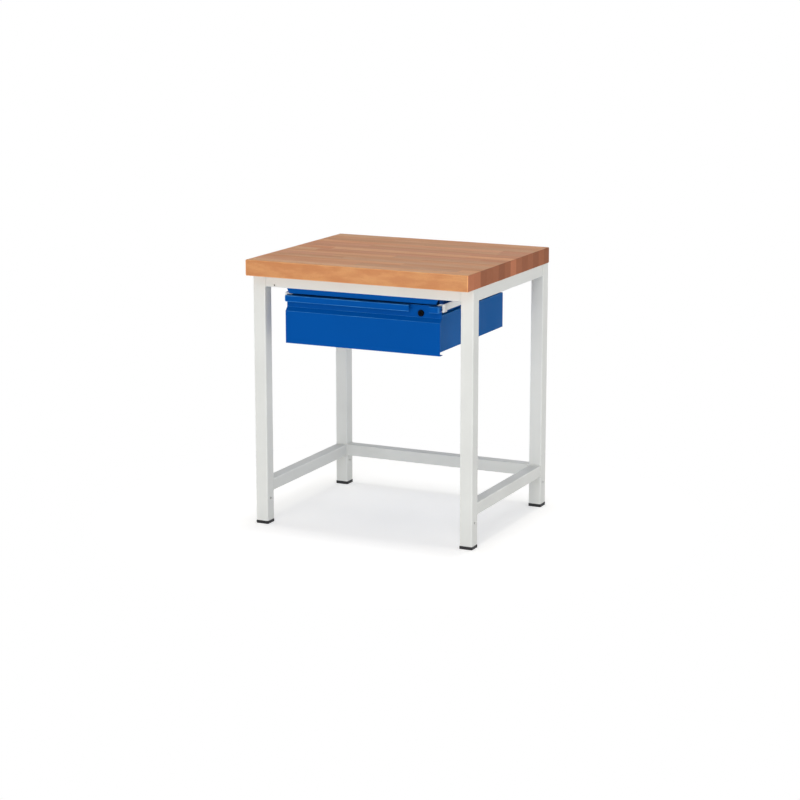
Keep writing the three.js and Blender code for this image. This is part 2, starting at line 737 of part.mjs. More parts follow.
// The cam points left while the lock is open, and up behind the strike when it is turned.
function camGeometry() {
  const outline = new THREE.Shape();
  const half = CAM_WIDTH / 2;
  outline.moveTo(0, half);
  outline.lineTo(-camReach + half, half);
  outline.absarc(-camReach + half, 0, half, Math.PI / 2, 1.5 * Math.PI);
  outline.lineTo(0, -half);
  outline.absarc(0, 0, half, -Math.PI / 2, Math.PI / 2);
  const hole = new THREE.Path();
  hole.absarc(0, 0, TAIL_DIAMETER / 2 + FIT, 0, 2 * Math.PI);
  outline.holes.push(hole);
  const plate = new THREE.ExtrudeGeometry(outline, {
    depth: CAM_THICKNESS,
    bevelEnabled: false,
    curveSegments: ROUND_STEPS / 2,
  });
  return plate.rotateX(Math.PI / 2).translate(0, camBack, 0);
}

piece(lock, "lock_cam", camGeometry(), zinc);
const camScrew = rod(CAM_SCREW_DIAMETER, camBack + SEAT, camBack + SEAT + CAM_SCREW_HEIGHT);
piece(lock, "cam_screw", alongY(camScrew), zinc);

export default bench;
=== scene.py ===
# %% [markdown]
# # A small workshop bench, finished and lit
# The solids of the bench arrive as a fixed frame: each piece already has its place and its real size.
# This lesson gives them their bends, welds, screws and finishes, one kind of piece at a time.
# Lengths are metres, because that is Blender's unit, and MM turns a length in millimetres into metres.

# %% Load the frame
import math

import bmesh
import bpy
from mathutils import Matrix, Vector


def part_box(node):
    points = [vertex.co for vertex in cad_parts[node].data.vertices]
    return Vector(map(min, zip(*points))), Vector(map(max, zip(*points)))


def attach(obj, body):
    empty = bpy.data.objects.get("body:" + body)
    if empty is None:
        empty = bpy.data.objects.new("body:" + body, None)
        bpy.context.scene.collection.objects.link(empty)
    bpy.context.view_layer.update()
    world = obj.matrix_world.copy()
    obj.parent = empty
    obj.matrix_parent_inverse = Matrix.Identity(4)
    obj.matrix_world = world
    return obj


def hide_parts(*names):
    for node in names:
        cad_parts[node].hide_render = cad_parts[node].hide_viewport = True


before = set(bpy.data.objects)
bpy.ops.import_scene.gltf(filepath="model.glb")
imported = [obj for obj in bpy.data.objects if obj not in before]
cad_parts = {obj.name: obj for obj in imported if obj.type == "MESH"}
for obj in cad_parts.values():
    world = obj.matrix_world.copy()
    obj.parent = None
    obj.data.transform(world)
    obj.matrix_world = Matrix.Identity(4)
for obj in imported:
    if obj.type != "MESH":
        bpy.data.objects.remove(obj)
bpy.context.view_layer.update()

MM = 0.001
scene = bpy.context.scene
scene.view_settings.view_transform = "Standard"

# %% [markdown]
# ## Camera
# The bench was photographed with a long lens from the right of its front, a little above the worktop.
# A long lens needs a distant camera, and that keeps the legs nearly parallel.
# The camera is given by the point that it looks at, its distance and two angles, which are easy to read.

# %% Camera
AIM_POINT = Vector((0.0038, -0.0088, 0.3807))
AIM_DISTANCE = 6.9723
CAMERA_YAW = math.radians(25.302)
CAMERA_PITCH = math.radians(12.210)
LENS_MM = 98.69


def away(yaw, pitch):
    """The direction from the object towards a viewer: yaw from the front to the right, pitch upwards."""
    level = math.cos(pitch)
    return Vector((math.sin(yaw) * level, -math.cos(yaw) * level, math.sin(pitch)))


camera = bpy.data.objects.new("camera", bpy.data.cameras.new("camera"))
camera.data.lens = LENS_MM
camera.location = AIM_POINT + AIM_DISTANCE * away(CAMERA_YAW, CAMERA_PITCH)
camera.rotation_euler = (AIM_POINT - camera.location).to_track_quat("-Z", "Y").to_euler()
scene.collection.objects.link(camera)
scene.camera = camera
print("camera at", tuple(round(c, 3) for c in camera.location))

# %% [markdown]
# ## Node helpers
# Every material below is a small graph of nodes. A few helpers keep the graphs short to read: they add a node
# and fill its inputs, do arithmetic, mix two colours, map a range of values, make noise or make a group.
# An input is filled with a number, a colour or the output of an earlier node.


# %% Node helpers
def add(tree, kind, inputs=None, **settings):
    """A new node in the tree, with its settings, its fixed inputs and its links."""
    node = tree.nodes.new(kind)
    for name, value in settings.items():
        setattr(node, name, value)
    for name, value in (inputs or {}).items():
        fill(tree, node.inputs[name], value)
    return node


def fill(tree, socket, value):
    """A socket takes a plain value, or a link from the output of an earlier node."""
    if isinstance(value, bpy.types.NodeSocket):
        tree.links.new(value, socket)
    else:
        socket.default_value = value


def calc(tree, operation, *values):
    """Arithmetic on numbers and outputs."""
    node = tree.nodes.new("ShaderNodeMath")
    node.operation = operation
    for socket, value in zip(node.inputs, values):
        fill(tree, socket, value)
    return node.outputs[0]


def mix(tree, factor, first, second, mode="MIX"):
    """Two colours mixed by a factor."""
    node = add(tree, "ShaderNodeMix", data_type="RGBA", blend_type=mode)
    factor_at, first_at, second_at, result_at = 0, 6, 7, 2
    fill(tree, node.inputs[factor_at], factor)
    fill(tree, node.inputs[first_at], first)
    fill(tree, node.inputs[second_at], second)
    return node.outputs[result_at]


def ramp(tree, value, low, high, to_low=0.0, to_high=1.0):
    """A value mapped smoothly from one range to another."""
    node = tree.nodes.new("ShaderNodeMapRange")
    node.interpolation_type = "SMOOTHSTEP"
    for socket, given in zip(node.inputs, (value, low, high, to_low, to_high)):
        fill(tree, socket, given)
    return node.outputs[0]


def noise(tree, vector, scale, detail=2.0, stretch=(1, 1, 1)):
    """Soft noise from 0 to 1. Stretch makes it finer along an axis, so wood streaks run along X."""
    if stretch != (1, 1, 1):
        vector = add(tree, "ShaderNodeVectorMath", {0: vector, 1: stretch}, operation="MULTIPLY").outputs[0]
    inputs = {"Vector": vector, "Scale": scale, "Detail": detail}
    return add(tree, "ShaderNodeTexNoise", inputs).outputs["Fac"]


def srgb(red, green, blue):
    """A colour as seen on a screen, 0 to 255, as the linear colour that a shader takes."""

    def linear(level):
        level /= 255
        return level / 12.92 if level <= 0.04045 else ((level + 0.055) / 1.055) ** 2.4

    return (linear(red), linear(green), linear(blue), 1.0)


def node_group(name, inputs, outputs, kind_of_tree="ShaderNodeTree"):
    """An empty node group with named sockets, and the sockets of its input and output nodes."""
    tree = bpy.data.node_groups.new(name, kind_of_tree)
    for socket, kind in inputs.items():
        tree.interface.new_socket(socket, in_out="INPUT", socket_type="NodeSocket" + kind)
    for socket, kind in outputs.items():
        tree.interface.new_socket(socket, in_out="OUTPUT", socket_type="NodeSocket" + kind)
    return tree, tree.nodes.new("NodeGroupInput").outputs, tree.nodes.new("NodeGroupOutput").inputs


def use(tree, group, **inputs):
    """A shader group placed in a material. Its outputs are returned by name."""
    node = tree.nodes.new("ShaderNodeGroup")
    node.node_tree = group
    for name, value in inputs.items():
        fill(tree, node.inputs[name.replace("_", " ").title()], value)
    return node.outputs


print("node helpers ready")

# %% [markdown]
# ## Stage and light
# A product picture stands on a white sweep. The floor is a real surface that takes the bench's soft shadow.
# What the camera and mirrors see of it is lifted to white, and only its true, plain shade lights the bench.
# The world does the same: white to look at, a calm grey to light with.
# From below the paper is clear, so that the underside of the bench can be looked at too.

# %% Floor
FLOOR_HALF = 9.0
FLOOR_SHADE = 0.9
FLOOR_GLOW = 0.44
FLOOR_SHADOW = (0.73, 0.722, 0.705, 1)
SHADOW_NEAR = 0.62
SHADOW_FAR = 1.0

floor_mesh = bpy.data.meshes.new("floor")
floor_corners = [(x * FLOOR_HALF, y * FLOOR_HALF, 0) for x, y in ((-1, -1), (1, -1), (1, 1), (-1, 1))]
floor_mesh.from_pydata(floor_corners, [], [(0, 1, 2, 3)])
floor = bpy.data.objects.new("floor", floor_mesh)
scene.collection.objects.link(floor)


def looked_at(tree):
    """1 for rays that look at the stage: from the camera, a mirror or glass."""
    light_path = tree.nodes.new("ShaderNodeLightPath").outputs
    seen = calc(tree, "MAXIMUM", light_path["Is Camera Ray"], light_path["Is Glossy Ray"])
    return calc(tree, "MAXIMUM", seen, light_path["Is Transmission Ray"])


def floor_paper():
    material = bpy.data.materials.new("floor_paper")
    material.use_nodes = True
    tree = material.node_tree
    tree.nodes.clear()
    plain = add(tree, "ShaderNodeBsdfDiffuse", {"Color": (FLOOR_SHADE, FLOOR_SHADE, FLOOR_SHADE, 1)})
    glow = add(tree, "ShaderNodeEmission", {"Color": (FLOOR_GLOW, FLOOR_GLOW, FLOOR_GLOW, 1)})
    shadow = add(tree, "ShaderNodeBsdfDiffuse", {"Color": FLOOR_SHADOW})
    near_white = add(tree, "ShaderNodeAddShader", {0: glow.outputs[0], 1: shadow.outputs[0]})
    far_white = add(tree, "ShaderNodeEmission", {"Color": (1, 1, 1, 1)})
    place = tree.nodes.new("ShaderNodeTexCoord").outputs["Object"]
    distance = add(tree, "ShaderNodeVectorMath", {0: place}, operation="LENGTH").outputs["Value"]
    far = ramp(tree, distance, SHADOW_NEAR, SHADOW_FAR)
    white = add(tree, "ShaderNodeMixShader", {0: far, 1: near_white.outputs[0], 2: far_white.outputs[0]})
    both = add(tree, "ShaderNodeMixShader", {0: looked_at(tree), 1: plain.outputs[0], 2: white.outputs[0]})
    from_below = tree.nodes.new("ShaderNodeNewGeometry").outputs["Backfacing"]
    clear = tree.nodes.new("ShaderNodeBsdfTransparent").outputs[0]
    paper = add(tree, "ShaderNodeMixShader", {0: from_below, 1: both.outputs[0], 2: clear})
    add(tree, "ShaderNodeOutputMaterial", {"Surface": paper.outputs[0]})
    return material


floor.data.materials.append(floor_paper())
print("floor", 2 * FLOOR_HALF, "m square")

# %% [markdown]
# ## Softboxes
# Big soft lamps stand round the bench as in a studio, so every side can be looked at. The key lamp gives
# the top its tone, the others keep fronts, sides and back light, and one lamp from above lights only the
# paper, for its shadow.

# %% World and softboxes
WORLD_LIGHT = 0.30

world = bpy.data.worlds.new("studio")
scene.world = world
world.use_nodes = True
world.node_tree.nodes.clear()
lit = add(world.node_tree, "ShaderNodeBackground", {"Color": (1.0, 1.0, 1.0, 1), "Strength": WORLD_LIGHT})
seen = add(world.node_tree, "ShaderNodeBackground", {"Color": (1, 1, 1, 1), "Strength": 1.0})
sky = add(
    world.node_tree,
    "ShaderNodeMixShader",
    {0: looked_at(world.node_tree), 1: lit.outputs[0], 2: seen.outputs[0]},
)
add(world.node_tree, "ShaderNodeOutputWorld", {"Surface": sky.outputs[0]})


def softbox(name, yaw, pitch, distance, width, height, watts):
    """An area lamp that faces the middle of the bench."""
    lamp = bpy.data.objects.new(name, bpy.data.lights.new(name, "AREA"))
    lamp.data.shape = "RECTANGLE"
    lamp.data.size = width
    lamp.data.size_y = height
    lamp.data.energy = watts
    lamp.location = AIM_POINT + distance * away(math.radians(yaw), math.radians(pitch))
    lamp.rotation_euler = (AIM_POINT - lamp.location).to_track_quat("-Z", "Y").to_euler()
    scene.collection.objects.link(lamp)
    return lamp


softbox("key_softbox", yaw=20, pitch=40, distance=7.0, width=3.0, height=2.4, watts=80)
softbox("front_softbox", yaw=6, pitch=9, distance=7.0, width=6.0, height=2.2, watts=166)
softbox("side_softbox", yaw=80, pitch=9, distance=7.0, width=5.0, height=2.2, watts=65)
softbox("rear_softbox", yaw=170, pitch=10, distance=7.0, width=6.0, height=2.4, watts=150)
softbox("left_softbox", yaw=-82, pitch=9, distance=7.0, width=5.0, height=2.2, watts=90)
overhead = softbox("overhead_softbox", yaw=0, pitch=90, distance=9.0, width=1.8, height=1.8, watts=280)
paper_only = bpy.data.collections.new("paper_only")
paper_only.objects.link(floor)
overhead.light_linking.receiver_collection = paper_only

# %% [markdown]
# ## Shared finishes
# Three effects turn up on more than one finish, so each is a group that any material can place.
# Powder coat is a skin of melted grains: its gloss wavers and its surface is like very fine orange peel.
# Folds and corners are painted a little paler: a painted highlight where they catch the light, and a
# little wear. A mask from the mesh says where they are.
# Grime is a faint unevenness over a hand's breadth, which stops large plain faces from looking printed.


# %% Powder skin, painted edge highlight and wear, and grime
BROAD_PEEL = 0.22
BROAD_SHARE = 0.6
PATCHES_PER_METRE = 9.0
GLOSS_WAVER = 0.05
HIGHLIGHT_BREAKS_PER_METRE = 16.0
LEAST_HIGHLIGHT = 0.35
CLOUDS_PER_METRE = 5.0


def make_powder_skin():
    """Height and roughness of a melted powder coat. Grain is its size in metres."""
    inputs = {"Vector": "Vector", "Grain": "Float", "Roughness": "Float"}
    tree, given, out = node_group("powder_skin", inputs, {"Height": "Float", "Roughness": "Float"})
    per_metre = calc(tree, "DIVIDE", 1.0, given["Grain"])
    fine = noise(tree, given["Vector"], per_metre, 1.0)
    broad = noise(tree, given["Vector"], calc(tree, "MULTIPLY", per_metre, BROAD_PEEL), 1.0)
    both = calc(tree, "MULTIPLY_ADD", broad, BROAD_SHARE, fine)
    patches = noise(tree, given["Vector"], PATCHES_PER_METRE, 3.0)
    waver = ramp(tree, patches, 0.3, 0.7, -GLOSS_WAVER, GLOSS_WAVER)
    tree.links.new(both, out["Height"])
    tree.links.new(calc(tree, "ADD", given["Roughness"], waver), out["Roughness"])
    return tree


def make_edge_highlight_and_wear():
    """A mask of the painted highlight and slight wear on folds and corners, uneven so that it never runs as a
    ruled line.
    """
    tree, given, out = node_group("edge_highlight_and_wear", {"Vector": "Vector", "Amount": "Float"}, {"Mask": "Float"})
    edge = add(tree, "ShaderNodeAttribute", attribute_name="edge", attribute_type="GEOMETRY").outputs["Fac"]
    broken = ramp(tree, noise(tree, given["Vector"], HIGHLIGHT_BREAKS_PER_METRE, 3.0), 0.32, 0.68, LEAST_HIGHLIGHT, 1.0)
    # Painted highlight with a little wear: the edge faces, broken up by noise.
    highlight_and_wear = calc(tree, "MULTIPLY", edge, broken)
    tree.links.new(calc(tree, "MULTIPLY", highlight_and_wear, given["Amount"]), out["Mask"])
    return tree


def make_grime():
    """A faint cloudy shade, 1 where the surface is clean."""
    tree, given, out = node_group("grime", {"Vector": "Vector", "Amount": "Float"}, {"Shade": "Float"})
    cloud = ramp(tree, noise(tree, given["Vector"], CLOUDS_PER_METRE, 5.0), 0.35, 0.75)
    dimming = calc(tree, "MULTIPLY", cloud, given["Amount"])
    tree.links.new(calc(tree, "SUBTRACT", 1.0, dimming), out["Shade"])
    return tree


POWDER_SKIN = make_powder_skin()
EDGE_HIGHLIGHT_AND_WEAR = make_edge_highlight_and_wear()
GRIME = make_grime()
print("groups", [group.name for group in bpy.data.node_groups])


# %% [markdown]
# ## Paints, metals and plastics
# The frame wears light grey powder coat and the drawer a deep blue one, so one function makes both.
# The tray behind the front looks a touch greener, so it has a coat of its own.
# Plain numbers go straight on the shader, and only what changes over the surface comes through nodes.
# Zinc is a metal with a cloudy, crystal-like bloom. Plastics have a fine moulded grain.


# %% Paints, metals and plastics
COAT_DEPTH = 0.03 * MM
CRYSTALS_PER_METRE = 420.0
BLOOMS_PER_METRE = 60.0
CRYSTAL_DEPTH = 0.02 * MM
CRYSTAL_SHARE = 0.25
ZINC_HIGHLIGHT = 0.5
ZINC_BRIGHTER, ZINC_DULLER = 0.08, 0.12
PLASTIC_GRIME = 0.18


def new_material(name):
    material = bpy.data.materials.new(name)
    material.use_nodes = True
    tree = material.node_tree
    place = tree.nodes.new("ShaderNodeTexCoord").outputs["Object"]
    return material, tree, tree.nodes["Principled BSDF"], place


def bump(tree, shader, height, depth):
    """Fine relief on the shader's normal, depth in metres."""
    node = add(tree, "ShaderNodeBump", {"Height": height, "Distance": depth})
    tree.links.new(node.outputs[0], shader.inputs["Normal"])


def shaded(tree, colour, shade):
    """A colour times a grey value."""
    grey = add(tree, "ShaderNodeCombineColor", {0: shade, 1: shade, 2: shade}).outputs[0]
    return mix(tree, 1.0, colour, grey, "MULTIPLY")


def powder_coat(name, colour, highlight_and_wear, roughness, gloss, grain=1.6 * MM, highlight=0.35, cloud=0.05):
    material, tree, shader, place = new_material(name)
    skin = use(tree, POWDER_SKIN, vector=place, grain=grain, roughness=roughness)
    # Painted highlight: folds and corners take the paler colour, with a little wear.
    highlight_mask = use(tree, EDGE_HIGHLIGHT_AND_WEAR, vector=place, amount=highlight)["Mask"]
    clean = shaded(tree, colour, use(tree, GRIME, vector=place, amount=cloud)["Shade"])
    tree.links.new(mix(tree, highlight_mask, clean, highlight_and_wear), shader.inputs["Base Color"])
    tree.links.new(skin["Roughness"], shader.inputs["Roughness"])
    bump(tree, shader, skin["Height"], COAT_DEPTH)
    shader.inputs["Specular IOR Level"].default_value = gloss
    return material


def zinc_plate(name, colour, dull, roughness):
    material, tree, shader, place = new_material(name)
    cells = add(tree, "ShaderNodeTexVoronoi", {"Vector": place, "Scale": CRYSTALS_PER_METRE})
    crystals = cells.outputs["Distance"]
    bloom = ramp(tree, noise(tree, place, BLOOMS_PER_METRE, 4.0), 0.35, 0.7)
    clouded = calc(tree, "MULTIPLY", bloom, 1 - CRYSTAL_SHARE)
    shade = calc(tree, "MULTIPLY_ADD", crystals, CRYSTAL_SHARE, clouded)
    # Painted highlight: folds and corners keep the brighter plain zinc, with a little wear.
    highlight_mask = use(tree, EDGE_HIGHLIGHT_AND_WEAR, vector=place, amount=ZINC_HIGHLIGHT)["Mask"]
    tree.links.new(mix(tree, highlight_mask, mix(tree, shade, colour, dull), colour), shader.inputs["Base Color"])
    dulled = ramp(tree, shade, 0.0, 1.0, roughness - ZINC_BRIGHTER, roughness + ZINC_DULLER)
    tree.links.new(dulled, shader.inputs["Roughness"])
    bump(tree, shader, crystals, CRYSTAL_DEPTH)
    shader.inputs["Metallic"].default_value = 1.0
    return material


def moulded(name, colour, highlight_colour, roughness, grain=0.7 * MM, depth=0.05 * MM, highlight=0.5, gloss=0.35):
    material, tree, shader, place = new_material(name)
    skin = use(tree, POWDER_SKIN, vector=place, grain=grain, roughness=roughness)
    # Painted highlight: folds and corners take the paler colour, with a little wear.
    highlight_mask = use(tree, EDGE_HIGHLIGHT_AND_WEAR, vector=place, amount=highlight)["Mask"]
    clean = shaded(tree, colour, use(tree, GRIME, vector=place, amount=PLASTIC_GRIME)["Shade"])
    tree.links.new(mix(tree, highlight_mask, clean, highlight_colour), shader.inputs["Base Color"])
    tree.links.new(skin["Roughness"], shader.inputs["Roughness"])
    bump(tree, shader, skin["Height"], depth)
    shader.inputs["Specular IOR Level"].default_value = gloss
    return material


# The second colour of each coat and plastic is its painted highlight on folds and corners, with a little
# wear.
GREY = powder_coat(
    "grey_powder_coat", srgb(223, 224, 220), srgb(237, 238, 235), roughness=0.42, gloss=0.35
)
RUNNER_GREY = powder_coat(
    "runner_powder_coat", srgb(240, 242, 241), srgb(244, 245, 244), roughness=0.36, gloss=0.4
)
BLUE = powder_coat(
    "blue_powder_coat", srgb(0, 79, 160), srgb(70, 144, 208), roughness=0.42, gloss=0.03, highlight=0.7
)
TRAY_BLUE = powder_coat(
    "tray_powder_coat", srgb(0, 91, 163), srgb(62, 134, 200), roughness=0.42, gloss=0.03, highlight=0.5
)
ZINC = zinc_plate("zinc_plate", srgb(205, 207, 208), srgb(158, 162, 166), roughness=0.34)
FOOT_BLACK = moulded("foot_plastic", srgb(34, 34, 36), srgb(70, 70, 72), roughness=0.62)
RUBBER = moulded("stop_rubber", srgb(28, 28, 29), srgb(52, 52, 53), roughness=0.8)
NYLON = moulded("white_nylon", srgb(238, 238, 234), srgb(244, 244, 240), roughness=0.5, highlight=0.3)
LOCK_BLACK = moulded(
    "lock_black", srgb(4, 4, 5), srgb(26, 26, 28), roughness=0.3, depth=0.01 * MM, gloss=0.06
)
print("finishes", [m.name for m in bpy.data.materials])

# %% [markdown]
# ## Beech staves
# The worktop is a glued block: long beech staves side by side, each made of lengths that butt end to end.
# Painting that by hand is hopeless, so the shader works out in which stave a point lies and gives the stave
# its own random numbers. A glue line is where a side or an end of the stave is near.

# %% Stave layout
STAVE_WIDTH = 46.4 * MM
STAVE_LENGTH = 420 * MM
SHORTEST_STAVE = 0.7 * STAVE_LENGTH
STAVE_SPREAD = 0.7 * STAVE_LENGTH
FRONT_STAVE_EXTRA = 5.0
ROW_START, ROW_SHIFT = 40.5, 17.3
GLUE_CORE = 0.1 * MM
GLUE_LINE = 0.5 * MM
board_low, board_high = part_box("worktop")


def make_stave_layout():
    """Which stave a point lies in: its own random colour, and the glue lines round it."""
    inputs = {"Vector": "Vector"}
    outputs = {"Random": "Color", "Seam": "Float"}
    tree, given, out = node_group("stave_layout", inputs, outputs)
    x, y, _ = add(tree, "ShaderNodeSeparateXYZ", {0: given["Vector"]}).outputs
    across = calc(tree, "DIVIDE", calc(tree, "SUBTRACT", y, board_low.y), STAVE_WIDTH)
    row = calc(tree, "FLOOR", across)
    in_row = calc(tree, "FRACT", across)
    row_random = add(tree, "ShaderNodeTexWhiteNoise", {"W": row}, noise_dimensions="1D").outputs["Value"]
    length = calc(tree, "MULTIPLY_ADD", row_random, STAVE_SPREAD, SHORTEST_STAVE)
    front_row = calc(tree, "LESS_THAN", row, 0.5)
    length = calc(tree, "MULTIPLY_ADD", front_row, FRONT_STAVE_EXTRA, length)
    shift = calc(tree, "MULTIPLY_ADD", row_random, ROW_SHIFT, ROW_START)
    along = calc(tree, "ADD", calc(tree, "DIVIDE", x, length), shift)
    block = calc(tree, "FLOOR", along)
    in_block = calc(tree, "FRACT", along)
    stave = add(tree, "ShaderNodeCombineXYZ", {0: block, 1: row}).outputs[0]
    random = add(tree, "ShaderNodeTexWhiteNoise", {"Vector": stave}, noise_dimensions="3D").outputs["Color"]
    to_side = calc(tree, "MULTIPLY", calc(tree, "PINGPONG", in_row, 0.5), STAVE_WIDTH)
    to_end = calc(tree, "MULTIPLY", calc(tree, "PINGPONG", in_block, 0.5), length)
    seam = ramp(tree, calc(tree, "MINIMUM", to_side, to_end), GLUE_CORE, GLUE_LINE, 1.0, 0.0)
    tree.links.new(random, out["Random"])
    tree.links.new(seam, out["Seam"])
    return tree


STAVE_LAYOUT = make_stave_layout()
print("staves across the board", round((board_high.y - board_low.y) / STAVE_WIDTH))

# %% [markdown]
# ## Beech grain
# Beech has growth rings, long soft streaks and short dark flecks. A picture of wood would repeat, so each
# stave is cut from its own log instead: rings round a pith that lies off to one side. Because the rings are
# solid, the same numbers give streaks on top, figure in front and arcs on the ends.

# %% Beech grain
RING = 4.5 * MM
LOG_SCATTER = (9.0, 5.0, 7.0)
PITH_SPREAD, PITH_NEAREST = (0.5, 0.22), (-0.25, -1.02)
RING_WANDER = 0.03
RING_SHARPNESS = 2.2
WANDERS_PER_METRE = (2.6, 16, 16)
STREAKS_PER_METRE = (2.2, 60, 60)
FIGURE_PER_METRE = (14, 42, 42)
FLECKS_PER_METRE = (250, 1300, 1300)


def make_beech_grain():
    """Growth rings, long streaks and the short dark flecks of beech, each stave cut from its own log."""
    inputs = {"Vector": "Vector", "Random": "Color"}
    outputs = {"Rings": "Float", "Streaks": "Float", "Flecks": "Float", "Figure": "Float"}
    tree, given, out = node_group("beech_grain", inputs, outputs)
    vector, random = given["Vector"], given["Random"]
    _, y, z = add(tree, "ShaderNodeSeparateXYZ", {0: vector}).outputs
    red, green, _ = add(tree, "ShaderNodeSeparateColor", {0: random}).outputs
    scatter = add(tree, "ShaderNodeVectorMath", {0: random, 1: LOG_SCATTER}, operation="MULTIPLY").outputs[0]
    log = add(tree, "ShaderNodeVectorMath", {0: vector, 1: scatter}, operation="ADD").outputs[0]
    pith_y = calc(tree, "MULTIPLY_ADD", red, PITH_SPREAD[0], calc(tree, "ADD", y, PITH_NEAREST[0]))
    pith_z = calc(tree, "ADD", z, calc(tree, "MULTIPLY_ADD", green, PITH_SPREAD[1], PITH_NEAREST[1]))
    wander = noise(tree, log, 1.0, 3.0, stretch=WANDERS_PER_METRE)
    squared_y = calc(tree, "MULTIPLY", pith_y, pith_y)
    squared = calc(tree, "ADD", squared_y, calc(tree, "MULTIPLY", pith_z, pith_z))
    from_pith = calc(tree, "MULTIPLY_ADD", wander, RING_WANDER, calc(tree, "SQRT", squared))
    phase = calc(tree, "FRACT", calc(tree, "DIVIDE", from_pith, RING))
    rings = calc(tree, "POWER", phase, RING_SHARPNESS)
    streaks = noise(tree, log, 1.0, 4.0, stretch=STREAKS_PER_METRE)
    fleck_field = noise(tree, log, 1.0, 1.0, stretch=FLECKS_PER_METRE)
    figure = noise(tree, log, 1.0, 3.0, stretch=FIGURE_PER_METRE)
    tree.links.new(rings, out["Rings"])
    tree.links.new(streaks, out["Streaks"])
    tree.links.new(ramp(tree, fleck_field, 0.62, 0.74), out["Flecks"])
    tree.links.new(ramp(tree, figure, 0.36, 0.64), out["Figure"])
    return tree


BEECH_GRAIN = make_beech_grain()
print("ring spacing", RING / MM, "mm")

# %% [markdown]
# ## Oiled beech
# Oil gives the wood a satin sheen, and no two staves have quite the same tone. The long faces are painted
# paler and warmer than the top in a thin skin of the block, as painted light. The ends are a finish of their
# own:
# open pores drink the oil, so they are darker and hardly shine.

# %% Oiled beech
BEECH_PALE = srgb(240, 172, 106)
BEECH_DARK = srgb(216, 136, 76)
BEECH_PINK = srgb(216, 132, 84)
BEECH_TAN = srgb(228, 172, 118)
BEECH_END = srgb(180, 115, 84)
BEECH_END_DARK = srgb(142, 84, 59)
LONG_FACE_LIGHT = (1.22, 1.16, 0.97, 1.0)
EDGE_FIGURE = 0.45
BEECH_GLUE = srgb(150, 92, 56)
SEAM_WEIGHT, SEAM_DEPTH = 0.55, 2.0
FIGURE_WEIGHT, RING_WEIGHT, FLECK_WEIGHT = 0.35, 0.25, 0.65
END_RING_WEIGHT = 0.55
GRAIN_DEPTH = 0.03 * MM
EDGE_SKIN = 0.05 * MM
EDGE_DEPTH = 0.8 * MM
MOST_TAN, MOST_PINK = 0.8, 0.65
STAVE_SHADES, END_SHADES = (0.86, 1.08), (0.74, 1.26)
SATIN, OPEN_PORES = (0.5, 0.62), (0.8, 0.92)
OIL_GLOSS, END_GLOSS = 0.5, 0.12


def beech(name):
    """A new material with the stave and the grain at each point of the block."""
    material, tree, shader, place = new_material(name)
    stave = use(tree, STAVE_LAYOUT, vector=place)
    grain = use(tree, BEECH_GRAIN, vector=place, random=stave["Random"])
    random = add(tree, "ShaderNodeSeparateColor", {0: stave["Random"]}).outputs
    return material, tree, shader, place, stave["Seam"], grain, random


def glue_and_oil(tree, shader, wood, seam, rings, roughness, gloss):
    """Glue lines, relief and the satin of the oil over a wood colour."""
    wood = mix(tree, calc(tree, "MULTIPLY", seam, SEAM_WEIGHT), wood, BEECH_GLUE)
    tree.links.new(wood, shader.inputs["Base Color"])
    tree.links.new(roughness, shader.inputs["Roughness"])
    sunk = calc(tree, "MULTIPLY", seam, SEAM_DEPTH)
    bump(tree, shader, calc(tree, "SUBTRACT", rings, sunk), GRAIN_DEPTH)
    shader.inputs["Specular IOR Level"].default_value = gloss


def oiled_beech():
    material, tree, shader, place, seam, grain, (red, green, blue) = beech("oiled_beech")
    body = mix(tree, ramp(tree, grain["Streaks"], 0.32, 0.68), BEECH_PALE, BEECH_DARK)
    body = mix(tree, ramp(tree, green, 0.35, 0.9, 0.0, MOST_TAN), body, BEECH_TAN)
    body = mix(tree, ramp(tree, blue, 0.55, 0.95, 0.0, MOST_PINK), body, BEECH_PINK)
    body = mix(tree, calc(tree, "MULTIPLY", grain["Figure"], FIGURE_WEIGHT), body, BEECH_DARK)
    body = mix(tree, calc(tree, "MULTIPLY", grain["Rings"], RING_WEIGHT), body, BEECH_DARK)
    body = mix(tree, calc(tree, "MULTIPLY", grain["Flecks"], FLECK_WEIGHT), body, BEECH_GLUE)
    body = shaded(tree, body, ramp(tree, red, 0.0, 1.0, *STAVE_SHADES))
    y = add(tree, "ShaderNodeSeparateXYZ", {0: place}).outputs[1]
    to_long_edge = calc(tree, "SUBTRACT", board_high.y, calc(tree, "ABSOLUTE", y))
    long_edge = ramp(tree, to_long_edge, EDGE_SKIN, EDGE_DEPTH, 1.0, 0.0)
    # Painted light: the long faces are painted paler and warmer than the top.
    body = mix(tree, long_edge, body, mix(tree, 1.0, body, LONG_FACE_LIGHT, "MULTIPLY"))
    edge_figure = calc(tree, "MULTIPLY", long_edge, grain["Figure"])
    body = mix(tree, calc(tree, "MULTIPLY", edge_figure, EDGE_FIGURE), body, BEECH_DARK)
    satin = ramp(tree, grain["Streaks"], 0.3, 0.7, *SATIN)
    glue_and_oil(tree, shader, body, seam, grain["Rings"], satin, gloss=OIL_GLOSS)
    return material


def beech_end_grain():
    material, tree, shader, _, seam, grain, (red, _, _) = beech("beech_end_grain")
    ends = mix(tree, calc(tree, "MULTIPLY", grain["Rings"], END_RING_WEIGHT), BEECH_END, BEECH_END_DARK)
    ends = shaded(tree, ends, ramp(tree, red, 0.0, 1.0, *END_SHADES))
    open_pores = ramp(tree, grain["Streaks"], 0.3, 0.7, *OPEN_PORES)
    glue_and_oil(tree, shader, ends, seam, grain["Rings"], open_pores, gloss=END_GLOSS)
    return material


BEECH = oiled_beech()
BEECH_ENDS = beech_end_grain()
print("beech ready")

